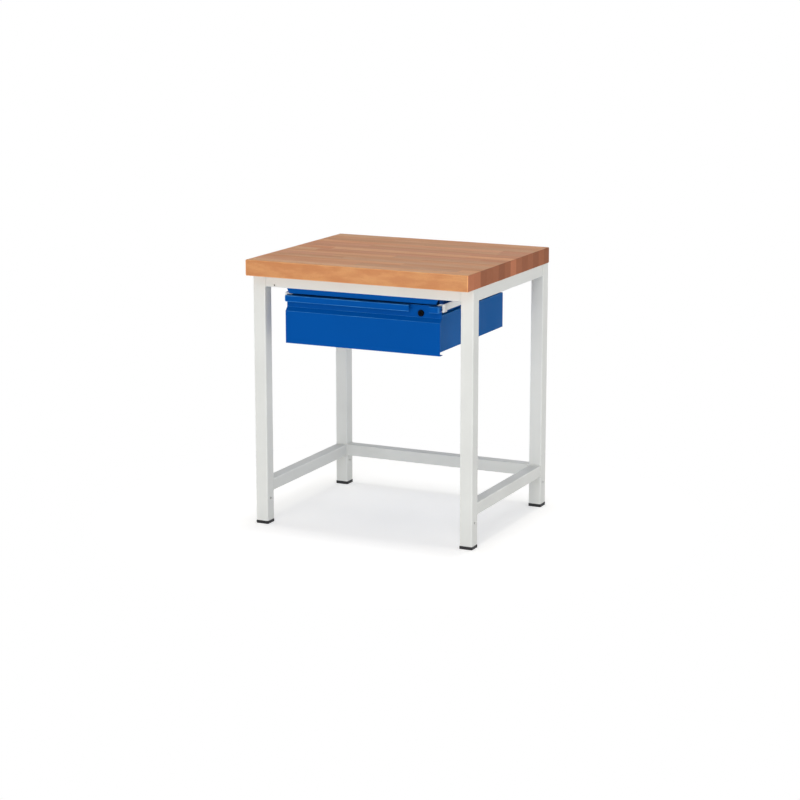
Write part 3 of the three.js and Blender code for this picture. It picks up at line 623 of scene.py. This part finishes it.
# %% [markdown]
# ## From solids to pieces
# A solid from the frame is a bag of loose triangles. A clean copy has its vertices merged and its flat faces
# whole, and then it can be treated like the real material: sheet metal gets a radius at each fold, and solid
# pieces lose their razor edges. Round faces are shaded smoothly and real corners stay crisp.
# Faces that lie on an edge are marked, so that the finishes know where to paint the paler edge: a painted
# highlight and a little wear.

# %% Clean copies
MERGE_DISTANCE = 0.01 * MM
FLAT_ANGLE = math.radians(0.6)
SHARP_ANGLE = math.radians(32)


def clean_copy(node):
    """A node's mesh with its vertices merged, its flat faces whole and a layer for edge marks."""
    solid = bmesh.new()
    solid.from_mesh(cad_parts[node].data)
    bmesh.ops.remove_doubles(solid, verts=solid.verts, dist=MERGE_DISTANCE)
    bmesh.ops.dissolve_limit(solid, angle_limit=FLAT_ANGLE, verts=solid.verts, edges=solid.edges)
    solid.faces.layers.float.new("edge")
    return solid


def face_breadth(face):
    """About the width of a face: what a strip would have with its area and its edge."""
    return 2 * face.calc_area() / face.calc_perimeter()


def round_edges(solid, edges, radius, steps):
    """Rounds these edges and marks the new faces as edge faces."""
    made = bmesh.ops.bevel(
        solid,
        geom=edges,
        offset=radius,
        offset_type="OFFSET",
        segments=steps,
        profile=0.5,
        affect="EDGES",
        clamp_overlap=True,
    )
    layer = solid.faces.layers.float["edge"]
    for face in made["faces"]:
        face[layer] = 1.0
    return len(edges)


def corner_edges(solid):
    return [e for e in solid.edges if e.is_manifold and e.calc_face_angle(0.0) > SHARP_ANGLE]


def mark_narrow_faces(solid, breadth):
    layer = solid.faces.layers.float["edge"]
    for face in solid.faces:
        if face_breadth(face) < breadth:
            face[layer] = 1.0


def shade(solid):
    for face in solid.faces:
        face.smooth = True
    for edge in solid.edges:
        edge.smooth = edge.is_manifold and edge.calc_face_angle(0.0) < SHARP_ANGLE


def add_piece(name, solid, material, body, nodes=()):
    """The finished mesh as an object that moves with a body and stands for these nodes."""
    shade(solid)
    mesh = bpy.data.meshes.new(name)
    solid.to_mesh(mesh)
    solid.free()
    return add_mesh(name, mesh, material, body, nodes)


def add_mesh(name, mesh, material, body, nodes=()):
    piece = bpy.data.objects.new(name, mesh)
    scene.collection.objects.link(piece)
    if not mesh.materials:
        mesh.materials.append(material)
    piece.modifiers.new("even_normals", "WEIGHTED_NORMAL").keep_sharp = True
    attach(piece, body)
    if nodes:
        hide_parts(*nodes)
    return piece


SIDES = ("left", "right")
CORNERS = [f"{end}_{side}" for end in ("front", "rear") for side in SIDES]
print("corners", CORNERS)

# %% [markdown]
# ## Worktop
# The block is planed flat and its edges are rounded by hand with sandpaper. Its shape is already right, so
# the clean copy only needs its long round edges marked and the beech put on, with end grain where the staves
# are cut.

# %% Worktop
END_FACING = 0.6
BOARD_EDGE_BREADTH = 2 * MM

worktop = clean_copy("worktop")
mark_narrow_faces(worktop, BOARD_EDGE_BREADTH)
end_faces = [face for face in worktop.faces if abs(face.normal.x) > END_FACING]
for face in end_faces:
    face.material_index = 1
print("end grain on", len(end_faces), "faces")
board = add_piece("worktop_board", worktop, BEECH, "frame", ["worktop"])
board.data.materials.append(BEECH_ENDS)
print("worktop", [round(c / MM) for c in board_high - board_low], "mm")

# %% [markdown]
# ## Tubes, tabs and feet
# Legs and rails are cold-rolled square tube with round corners, cut square and welded. The feet are black
# plugs driven into the legs. All of them keep the frame's own shape.

# %% Tubes, tabs and feet
TUBES = [f"leg_{corner}" for corner in CORNERS]
TUBES += [f"top_rail_{side}" for side in ("front", "rear", *SIDES)]
TUBES += [f"foot_rail_{side}" for side in ("rear", *SIDES)]
TUBE_CORNER_BREADTH = 1.6 * MM
TAB_EDGE, TAB_STEPS = 0.6 * MM, 2
FOOT_EDGE, FOOT_STEPS = 1.2 * MM, 3

for node in TUBES:
    tube = clean_copy(node)
    mark_narrow_faces(tube, TUBE_CORNER_BREADTH)
    add_piece(node + "_tube", tube, GREY, "frame", [node])
for corner in CORNERS:
    tab = clean_copy("top_tab_" + corner)
    round_edges(tab, corner_edges(tab), TAB_EDGE, TAB_STEPS)
    add_piece("fixing_tab_" + corner, tab, GREY, "frame", ["top_tab_" + corner])
    foot = clean_copy("foot_plug_" + corner)
    round_edges(foot, corner_edges(foot), FOOT_EDGE, FOOT_STEPS)
    add_piece("foot_" + corner, foot, FOOT_BLACK, "frame", ["foot_plug_" + corner])
print("tubes", len(TUBES))

# %% [markdown]
# ## Sheet metal
# The drawer and the pan are folded from steel sheet. A fold has a radius inside and, one sheet thickness
# further out, a larger radius outside. The folds are found by looking: an edge between two broad faces is a
# fold, and an edge next to a face as narrow as the sheet is only a cut edge.

# %% Sheet metal
SHEET = 1.5 * MM
FOLD_INSIDE = 0.7 * MM
FOLD_OUTSIDE = FOLD_INSIDE + SHEET
FOLD_STEPS = 4
TIGHT_FOLD = 1.3 * MM
BROAD_FACE = 1.35


def folds(solid, thickness, convex):
    found = []
    for edge in corner_edges(solid):
        broad = all(face_breadth(face) > BROAD_FACE * thickness for face in edge.link_faces)
        if broad and edge.is_convex == convex:
            found.append(edge)
    return found


def fold_sheet(node, material, body, name, outside=FOLD_OUTSIDE, thickness=SHEET):
    sheet = clean_copy(node)
    count = round_edges(sheet, folds(sheet, thickness, True), outside, FOLD_STEPS)
    inner = folds(sheet, thickness, False)
    if inner:
        round_edges(sheet, inner, max(outside - thickness, FOLD_INSIDE / 2), FOLD_STEPS)
    print(name, "folds", count, "faces", len(sheet.faces))
    return add_piece(name, sheet, material, body, [node])


fold_sheet("cover_pan", BLUE, "frame", "folded_pan", outside=TIGHT_FOLD)
fold_sheet("drawer_front", BLUE, "drawer", "folded_front", outside=TIGHT_FOLD)
fold_sheet("drawer_bottom", TRAY_BLUE, "drawer", "tray_bottom")
fold_sheet("drawer_back", TRAY_BLUE, "drawer", "tray_back")
for side in SIDES:
    fold_sheet("drawer_side_" + side, TRAY_BLUE, "drawer", "tray_side_" + side)

# %% [markdown]
# ## Runners, drawer rails and strike
# Rolled channel and angle are thicker than the sheet of the drawer, so their folds are rounder.

# %% Runners and drawer rails
CHANNEL = 2 * MM
CHANNEL_FOLD = 2.2 * MM

for side in SIDES:
    runner, rail = "runner_" + side, "drawer_rail_" + side
    fold_sheet(runner, RUNNER_GREY, "frame", "runner_channel_" + side, CHANNEL_FOLD, CHANNEL)
    fold_sheet(rail, ZINC, "drawer", "drawer_rail_angle_" + side, CHANNEL_FOLD, CHANNEL)
fold_sheet("lock_strike", ZINC, "frame", "strike_angle", CHANNEL_FOLD, CHANNEL)

# %% [markdown]
# ## Rollers, pins and stops
# The drawer runs on nylon rollers on steel pins, and rubber blocks in the runners stop it at each end.
# They are small, so a light rounding of every corner is all that they need.

# %% Rollers, pins and stops
ROLLER_EDGE = 0.5 * MM
PIN_EDGE = 0.3 * MM
SHOE_EDGE = 1.0 * MM
BLOCK_EDGE = 0.8 * MM


def eased(node, name, material, body, radius, steps=2):
    """A piece with all its sharp edges rounded."""
    solid = clean_copy(node)
    count = round_edges(solid, corner_edges(solid), radius, steps)
    print(name, "edges", count, "faces", len(solid.faces))
    return add_piece(name, solid, material, body, [node])


for side in SIDES:
    for end, carrier in (("front", "frame"), ("rear", "drawer")):
        roller = f"{end}_roller_{side}"
        pin = f"{end}_roller_pin_{side}"
        eased(roller, roller + "_wheel", NYLON, roller, ROLLER_EDGE)
        eased(pin, pin + "_rivet", ZINC, carrier, PIN_EDGE)
    eased("runner_shoe_" + side, "runner_end_shoe_" + side, NYLON, "frame", SHOE_EDGE, steps=3)
    for block in ("travel_stop", "closing_buffer"):
        eased(f"{block}_{side}", f"{block}_block_{side}", RUBBER, "frame", BLOCK_EDGE)

# %% [markdown]
# ## Lock
# A black cam lock sits in the bay between the two lengths of pull rail. Its plug turns with the cam, so the
# two ride on their own body, and the barrel and nut stay with the drawer.

# %% Lock
BEZEL_EDGE = 0.5 * MM
NUT_EDGE = 0.5 * MM
PLUG_EDGE = 0.25 * MM
CAM_EDGE = 0.4 * MM
CAM_SCREW_EDGE = 0.5 * MM

eased("lock_barrel", "lock_bezel", LOCK_BLACK, "drawer", BEZEL_EDGE, steps=3)
eased("lock_nut", "lock_hex_nut", ZINC, "drawer", NUT_EDGE)
eased("lock_plug", "lock_key_plug", LOCK_BLACK, "lock_core", PLUG_EDGE)
eased("lock_cam", "lock_cam_arm", ZINC, "lock_core", CAM_EDGE)
eased("cam_screw", "lock_cam_screw", ZINC, "lock_core", CAM_SCREW_EDGE)

# %% [markdown]
# ## Pull rail ends
# The pull rail is a folded channel. Its outer ends are closed with a rounded cap, so no sharp edge meets a
# hand. The channel is drawn a little shorter there, and the cap takes up the rest of its length.

# %% Pull rail ends
CAP_LENGTH = 7 * MM
CAP_ROUND = 4.5 * MM
CAP_STEPS = 5
CAP_SIDE_STEPS = 3
SAME_PLACE = 0.2 * MM


def box_solid(low, high):
    solid = bmesh.new()
    solid.faces.layers.float.new("edge")
    middle = (Vector(low) + Vector(high)) / 2
    size = Vector(high) - Vector(low)
    bmesh.ops.create_cube(solid, size=1.0, matrix=Matrix.Translation(middle) @ Matrix.Diagonal((*size, 1.0)))
    return solid


def capped_rail(node, name, side):
    """A pull rail with a rounded cap at its outer end: side is -1 for the left end and 1 for the right."""
    low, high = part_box(node)
    outer = low.x if side < 0 else high.x
    inner = outer - side * CAP_LENGTH
    rail = clean_copy(node)
    for point in rail.verts:
        if abs(point.co.x - outer) < SAME_PLACE:
            point.co.x = inner
    round_edges(rail, folds(rail, SHEET, True), FOLD_OUTSIDE, FOLD_STEPS)
    round_edges(rail, folds(rail, SHEET, False), FOLD_INSIDE, FOLD_STEPS)
    cap = box_solid((min(inner, outer), low.y, low.z), (max(inner, outer), high.y, high.z))
    outer_edges = [e for e in cap.edges if all(abs(v.co.x - outer) < SAME_PLACE for v in e.verts)]
    round_edges(cap, outer_edges, CAP_ROUND, CAP_STEPS)
    along = [e for e in corner_edges(cap) if abs(e.verts[0].co.x - e.verts[1].co.x) > SAME_PLACE]
    round_edges(cap, along, FOLD_OUTSIDE, CAP_SIDE_STEPS)
    add_piece(name, rail, BLUE, "drawer", [node])
    add_piece(name + "_cap", cap, BLUE, "drawer")
    print(name, "cap at x", round(outer / MM, 1))


capped_rail("grip_long", "pull_rail_long", -1)
capped_rail("grip_short", "pull_rail_short", 1)

# %% [markdown]
# ## Pieces that repeat
# Weld ripples, screws, bolts, rivets and spot welds all repeat, so Geometry Nodes grows them. A weld is a
# line along which drops of metal froze one over the other. A fastener is a master that is set on a point,
# faces away from its surface and stops at any angle, because nobody lines up screws. Each tree ends as a
# plain mesh.


# %% Growing
DROP_OVERLAP = 1.2
DROP_SEGMENTS, DROP_RINGS = 10, 6


def make_weld_bead():
    """Overlapping drops along lines: pitch is their spacing, width their half breadth."""
    inputs = {"Lines": "Geometry", "Pitch": "Float", "Width": "Float", "Unevenness": "Float", "Seed": "Int"}
    inputs["Finish"] = "Material"
    tree, given, out = node_group("weld_bead", inputs, {"Bead": "Geometry"}, "GeometryNodeTree")
    path = add(tree, "GeometryNodeMeshToCurve", {"Mesh": given["Lines"]}).outputs[0]
    spacing = {"Curve": path, "Length": given["Pitch"]}
    drops = add(tree, "GeometryNodeResampleCurve", spacing, mode="LENGTH").outputs[0]
    along = tree.nodes.new("GeometryNodeInputTangent").outputs[0]
    turn = add(tree, "FunctionNodeAlignRotationToVector", {"Vector": along}, axis="X").outputs[0]
    least = calc(tree, "SUBTRACT", 1.0, given["Unevenness"])
    most = calc(tree, "ADD", 1.0, given["Unevenness"])
    breadth = calc(tree, "MULTIPLY", random_between(tree, least, most, given["Seed"]), given["Width"])
    length = calc(tree, "MULTIPLY", given["Pitch"], DROP_OVERLAP)
    size = add(tree, "ShaderNodeCombineXYZ", {0: length, 1: breadth, 2: breadth}).outputs[0]
    ball = {"Segments": DROP_SEGMENTS, "Rings": DROP_RINGS, "Radius": 1.0}
    drop = add(tree, "GeometryNodeMeshUVSphere", ball).outputs["Mesh"]
    set_out(tree, drops, drop, turn, size, given["Finish"], out["Bead"])
    return tree


def make_fastener_set():
    """A master object on each point, turned to the point's facing and by chance about its own axis."""
    inputs = {"Places": "Geometry", "Master": "Object", "Turn": "Float", "Seed": "Int", "Finish": "Material"}
    tree, given, out = node_group("fastener_set", inputs, {"Fasteners": "Geometry"}, "GeometryNodeTree")
    named = add(tree, "GeometryNodeInputNamedAttribute", {"Name": "facing"}, data_type="FLOAT_VECTOR")
    facing = named.outputs[0]
    upright = add(tree, "FunctionNodeAlignRotationToVector", {"Vector": facing}, axis="Z").outputs[0]
    angle = random_between(tree, 0.0, given["Turn"], given["Seed"])
    spin = add(tree, "FunctionNodeAxisAngleToRotation", {"Axis": (0, 0, 1), "Angle": angle}).outputs[0]
    turn = add(
        tree, "FunctionNodeRotateRotation", {"Rotation": upright, "Rotate By": spin}, rotation_space="LOCAL"
    ).outputs[0]
    master = add(tree, "GeometryNodeObjectInfo", {"Object": given["Master"]}).outputs["Geometry"]
    set_out(tree, given["Places"], master, turn, (1, 1, 1), given["Finish"], out["Fasteners"])
    return tree


def random_between(tree, low, high, seed):
    float_low, float_high, seed_at, float_out = 2, 3, 8, 1
    inputs = {float_low: low, float_high: high, seed_at: seed}
    node = add(tree, "FunctionNodeRandomValue", inputs, data_type="FLOAT")
    return node.outputs[float_out]


def set_out(tree, points, master, turn, size, finish, output):
    """Copies on points, made real and given their finish."""
    places = {"Points": points, "Instance": master, "Rotation": turn, "Scale": size}
    copies = add(tree, "GeometryNodeInstanceOnPoints", places).outputs[0]
    real = add(tree, "GeometryNodeRealizeInstances", {0: copies}).outputs[0]
    finished = add(tree, "GeometryNodeSetMaterial", {"Geometry": real, "Material": finish}).outputs[0]
    tree.links.new(finished, output)


def grow(name, tree, mesh, **inputs):
    """The plain mesh that a tree grows on a mesh of lines or points."""
    carrier = bpy.data.objects.new(name + "_carrier", mesh)
    scene.collection.objects.link(carrier)
    modifier = carrier.modifiers.new("grow", "NODES")
    modifier.node_group = tree
    for item in tree.interface.items_tree:
        if item.in_out == "INPUT" and item.name.lower() in inputs:
            modifier[item.identifier] = inputs[item.name.lower()]
    grown = bpy.data.meshes.new_from_object(carrier.evaluated_get(bpy.context.evaluated_depsgraph_get()))
    bpy.data.objects.remove(carrier)
    for face in grown.polygons:
        face.use_smooth = True
    grown.name = name
    print(name, "faces", len(grown.polygons))
    return grown


WELD_BEAD = make_weld_bead()
FASTENER_SET = make_fastener_set()
print("trees", WELD_BEAD.name, FASTENER_SET.name)

# %% [markdown]
# ## Welds
# Each rail is welded to its legs all round, and the rails under the board on three sides only, because the
# board covers the fourth. The bead lies in the small step between rail and leg. Each fixing tab has a short
# weld below.

# %% Welds
WELD_WIDTH = 1.7 * MM
WELD_PITCH = 1.7 * MM
WELD_OUT = 0.3 * MM
WELD_CORNER = 3.2 * MM
BOARD_CLEAR = 3 * MM
CORNER_STEPS = 3
TAB_WELD_INSET = 4 * MM
WELD_UNEVENNESS = 0.14
WELD_SEED = 7


def rail_outline(half):
    """The outline of a square tube with round corners, from the top right, clockwise, as (across, up)."""
    straight = half - WELD_CORNER
    quarters = [(straight, straight, 90), (straight, -straight, 0)]
    quarters += [(-straight, -straight, -90), (-straight, straight, -180)]
    points = []
    for across, up, start in quarters:
        for step in range(CORNER_STEPS + 1):
            angle = math.radians(start - 90 * step / CORNER_STEPS)
            points.append((across + WELD_CORNER * math.cos(angle), up + WELD_CORNER * math.sin(angle)))
    return points


def rail_end_lines(node, under_board):
    """The weld lines at both ends of a rail."""
    low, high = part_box(node)
    middle, size = (low + high) / 2, high - low
    along = 0 if size.x > size.y else 1
    half = size.z / 2 + WELD_OUT
    outline = rail_outline(half)
    if under_board:
        side_top = size.z / 2 - BOARD_CLEAR
        lower = outline[CORNER_STEPS + 1 : 3 * (CORNER_STEPS + 1)]
        outline = [(half, side_top), *lower, (-half, side_top)]
    lines = []
    for end, inward in ((low[along], 1), (high[along], -1)):
        line = []
        for across, up in outline:
            point = Vector(middle)
            point[along] = end + inward * WELD_OUT
            point[1 - along] += across
            point.z += up
            line.append(point)
        lines.append((line, not under_board))
    return lines


def line_mesh(name, lines):
    points, edges = [], []
    for line, closed in lines:
        first = len(points)
        points += line
        edges += [(first + i, first + i + 1) for i in range(len(line) - 1)]
        if closed:
            edges.append((len(points) - 1, first))
    mesh = bpy.data.meshes.new(name)
    mesh.from_pydata(points, edges, [])
    return mesh


weld_lines = []
for node in TUBES:
    if "rail" in node:
        weld_lines += rail_end_lines(node, under_board=node.startswith("top"))
for corner in CORNERS:
    low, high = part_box("top_tab_" + corner)
    against_rail = high.x if corner.endswith("right") else low.x
    ends = (low.y + TAB_WELD_INSET, high.y - TAB_WELD_INSET)
    weld_lines.append(([Vector((against_rail, y, low.z)) for y in ends], False))
beads = grow(
    "weld_beads",
    WELD_BEAD,
    line_mesh("weld_lines", weld_lines),
    pitch=WELD_PITCH,
    width=WELD_WIDTH,
    unevenness=WELD_UNEVENNESS,
    seed=WELD_SEED,
    finish=GREY,
)
add_mesh("weld_beads", beads, GREY, "frame")
print("weld lines", len(weld_lines))

# %% [markdown]
# ## Screws, bolts, rivets and spot welds
# Masters are turned like real ones on a lathe: rings of points from the axis below to the axis above, round
# or six-sided. Wood screws with a six-sided socket hold the board, hex bolts with washers hold the pan, dome
# rivets hold the drawer's rails, and shallow round marks show where the drawer's sheets are spot-welded.

# %% Masters
TURNED_STEPS = 36
MASTER_EDGE_BREADTH = 0.4 * MM


def turned_master(name, rings):
    """A lathe-turned solid. Each ring is (radius, height) or (radius, height, six-sided), in millimetres."""
    solid = bmesh.new()
    solid.faces.layers.float.new("edge")
    sixth = math.radians(60)
    loops = []
    for radius, height, *six_sided in rings:
        if radius == 0:
            loops.append([solid.verts.new((0, 0, height * MM))])
            continue
        loop = []
        for step in range(TURNED_STEPS):
            angle = 2 * math.pi * step / TURNED_STEPS
            reach = radius / math.cos((angle + sixth / 2) % sixth - sixth / 2) if six_sided else radius
            point = (reach * math.cos(angle) * MM, reach * math.sin(angle) * MM, height * MM)
            loop.append(solid.verts.new(point))
        loops.append(loop)
    for lower, upper in zip(loops, loops[1:]):
        for step in range(TURNED_STEPS):
            beside = (step + 1) % TURNED_STEPS
            corners = [lower[step % len(lower)], lower[beside % len(lower)]]
            corners += [upper[beside % len(upper)], upper[step % len(upper)]]
            solid.faces.new(list(dict.fromkeys(corners)))
    bmesh.ops.recalc_face_normals(solid, faces=solid.faces)
    mark_narrow_faces(solid, MASTER_EDGE_BREADTH)
    mesh = bpy.data.meshes.new(name)
    solid.to_mesh(mesh)
    solid.free()
    return bpy.data.objects.new(name, mesh)


SOCKET_SCREW = turned_master(
    "socket_screw",
    [(0, -1), (5.0, -1), (5.0, 0.5), (4.8, 1.3), (4.2, 2.1), (3.2, 2.7), (2.3, 2.95)]
    + [(2.05, 2.9, True), (2.0, 1.2, True), (0, 1.0)],
)
WASHER_BOLT = turned_master(
    "washer_bolt",
    [(0, -0.05), (6.9, -0.05), (6.9, 0.75), (6.6, 0.95), (5.5, 0.95, True), (5.5, 3.5, True)]
    + [(5.2, 3.95), (4.4, 4.0), (4.0, 3.75), (0, 3.75)],
)
DOME_RIVET = turned_master(
    "dome_rivet", [(0, -0.3), (3.2, -0.3), (3.2, 0.35), (2.9, 0.9), (2.1, 1.35), (1.0, 1.55), (0, 1.6)]
)
SPOT_WELD = turned_master(
    "spot_weld", [(0, -0.3), (3.4, -0.3), (3.2, 0.1), (2.7, 0.24), (2.2, 0.2), (1.2, 0.06), (0, 0.03)]
)
print("masters", SOCKET_SCREW.name, WASHER_BOLT.name, DOME_RIVET.name, SPOT_WELD.name)

# %% [markdown]
# ## Setting the fasteners
# Heads sit where the frame has its screws and bolts. Rivets and spot welds stand in rows, an even step apart.

# %% Fasteners
ANY_ANGLE = 2 * math.pi
HEAD_HEIGHT = {"top_screw": 3.0 * MM, "pan_bolt": 4.0 * MM}
RIVETS_EACH = 5
SPOTS_EACH = 6
BACK_SPOTS_EACH = 4
ROW_END_CLEAR = 30 * MM
RIVET_SEAT = 0.1 * MM
SPOT_INSET = 8 * MM
BACK_SPOT_INSET = 9 * MM
BACK_SPOT_FOOT, BACK_SPOT_HEAD = 15 * MM, 40 * MM
SCREW_SEED, BOLT_SEED, RIVET_SEED, SPOT_SEED = 3, 5, 11, 13


def spread(first, last, count):
    return [first + (last - first) * i / (count - 1) for i in range(count)]


def fasten(name, master, places, material, body, seed, nodes=()):
    """Fasteners on places, each a point and the direction that it faces."""
    mesh = bpy.data.meshes.new(name + "_places")
    mesh.from_pydata([point for point, facing in places], [], [])
    facings = mesh.attributes.new("facing", "FLOAT_VECTOR", "POINT")
    for i, (point, facing) in enumerate(places):
        facings.data[i].vector = facing
    scene.collection.objects.link(master)
    grown = grow(name, FASTENER_SET, mesh, master=master, turn=ANY_ANGLE, seed=seed, finish=material)
    scene.collection.objects.unlink(master)
    bpy.data.objects.remove(master)
    solid = bmesh.new()
    solid.from_mesh(grown)
    return add_piece(name, solid, material, body, nodes)


def head_places(kind):
    """Where the heads of downward screws of a kind sit: the middle of the node, at the top of its head."""
    places = []
    for corner in CORNERS:
        low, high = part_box(f"{kind}_{corner}")
        middle = (low + high) / 2
        places.append((Vector((middle.x, middle.y, low.z + HEAD_HEIGHT[kind])), Vector((0, 0, -1))))
    return places


board_nodes = ["top_screw_" + corner for corner in CORNERS]
pan_nodes = ["pan_bolt_" + corner for corner in CORNERS]
screw_places = head_places("top_screw")
fasten("board_screws", SOCKET_SCREW, screw_places, ZINC, "frame", SCREW_SEED, board_nodes)
bolt_places = head_places("pan_bolt")
fasten("pan_bolts", WASHER_BOLT, bolt_places, ZINC, "frame", BOLT_SEED, pan_nodes)

rivet_places, spot_places = [], []
back_low, back_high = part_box("drawer_back")
tray_low, tray_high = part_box("drawer_bottom")
for side, inward in (("left", 1), ("right", -1)):
    rail_low, rail_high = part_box("drawer_rail_" + side)
    wall = (rail_high.x if side == "left" else rail_low.x) + inward * (SHEET + RIVET_SEAT)
    height = (rail_low.z + rail_high.z) / 2
    for y in spread(rail_low.y + ROW_END_CLEAR, rail_high.y - ROW_END_CLEAR, RIVETS_EACH):
        rivet_places.append((Vector((wall, y, height)), Vector((inward, 0, 0))))
    edge = tray_low.x if side == "left" else tray_high.x
    for y in spread(tray_low.y + ROW_END_CLEAR, tray_high.y - ROW_END_CLEAR, SPOTS_EACH):
        spot_places.append((Vector((edge + inward * SPOT_INSET, y, tray_low.z)), Vector((0, 0, -1))))
    for z in spread(back_low.z + BACK_SPOT_FOOT, back_high.z - BACK_SPOT_HEAD, BACK_SPOTS_EACH):
        corner_x = (back_low.x if side == "left" else back_high.x) + inward * BACK_SPOT_INSET
        spot_places.append((Vector((corner_x, back_high.y, z)), Vector((0, 1, 0))))
fasten("rail_rivets", DOME_RIVET, rivet_places, ZINC, "drawer", RIVET_SEED)
fasten("spot_welds", SPOT_WELD, spot_places, TRAY_BLUE, "drawer", SPOT_SEED)
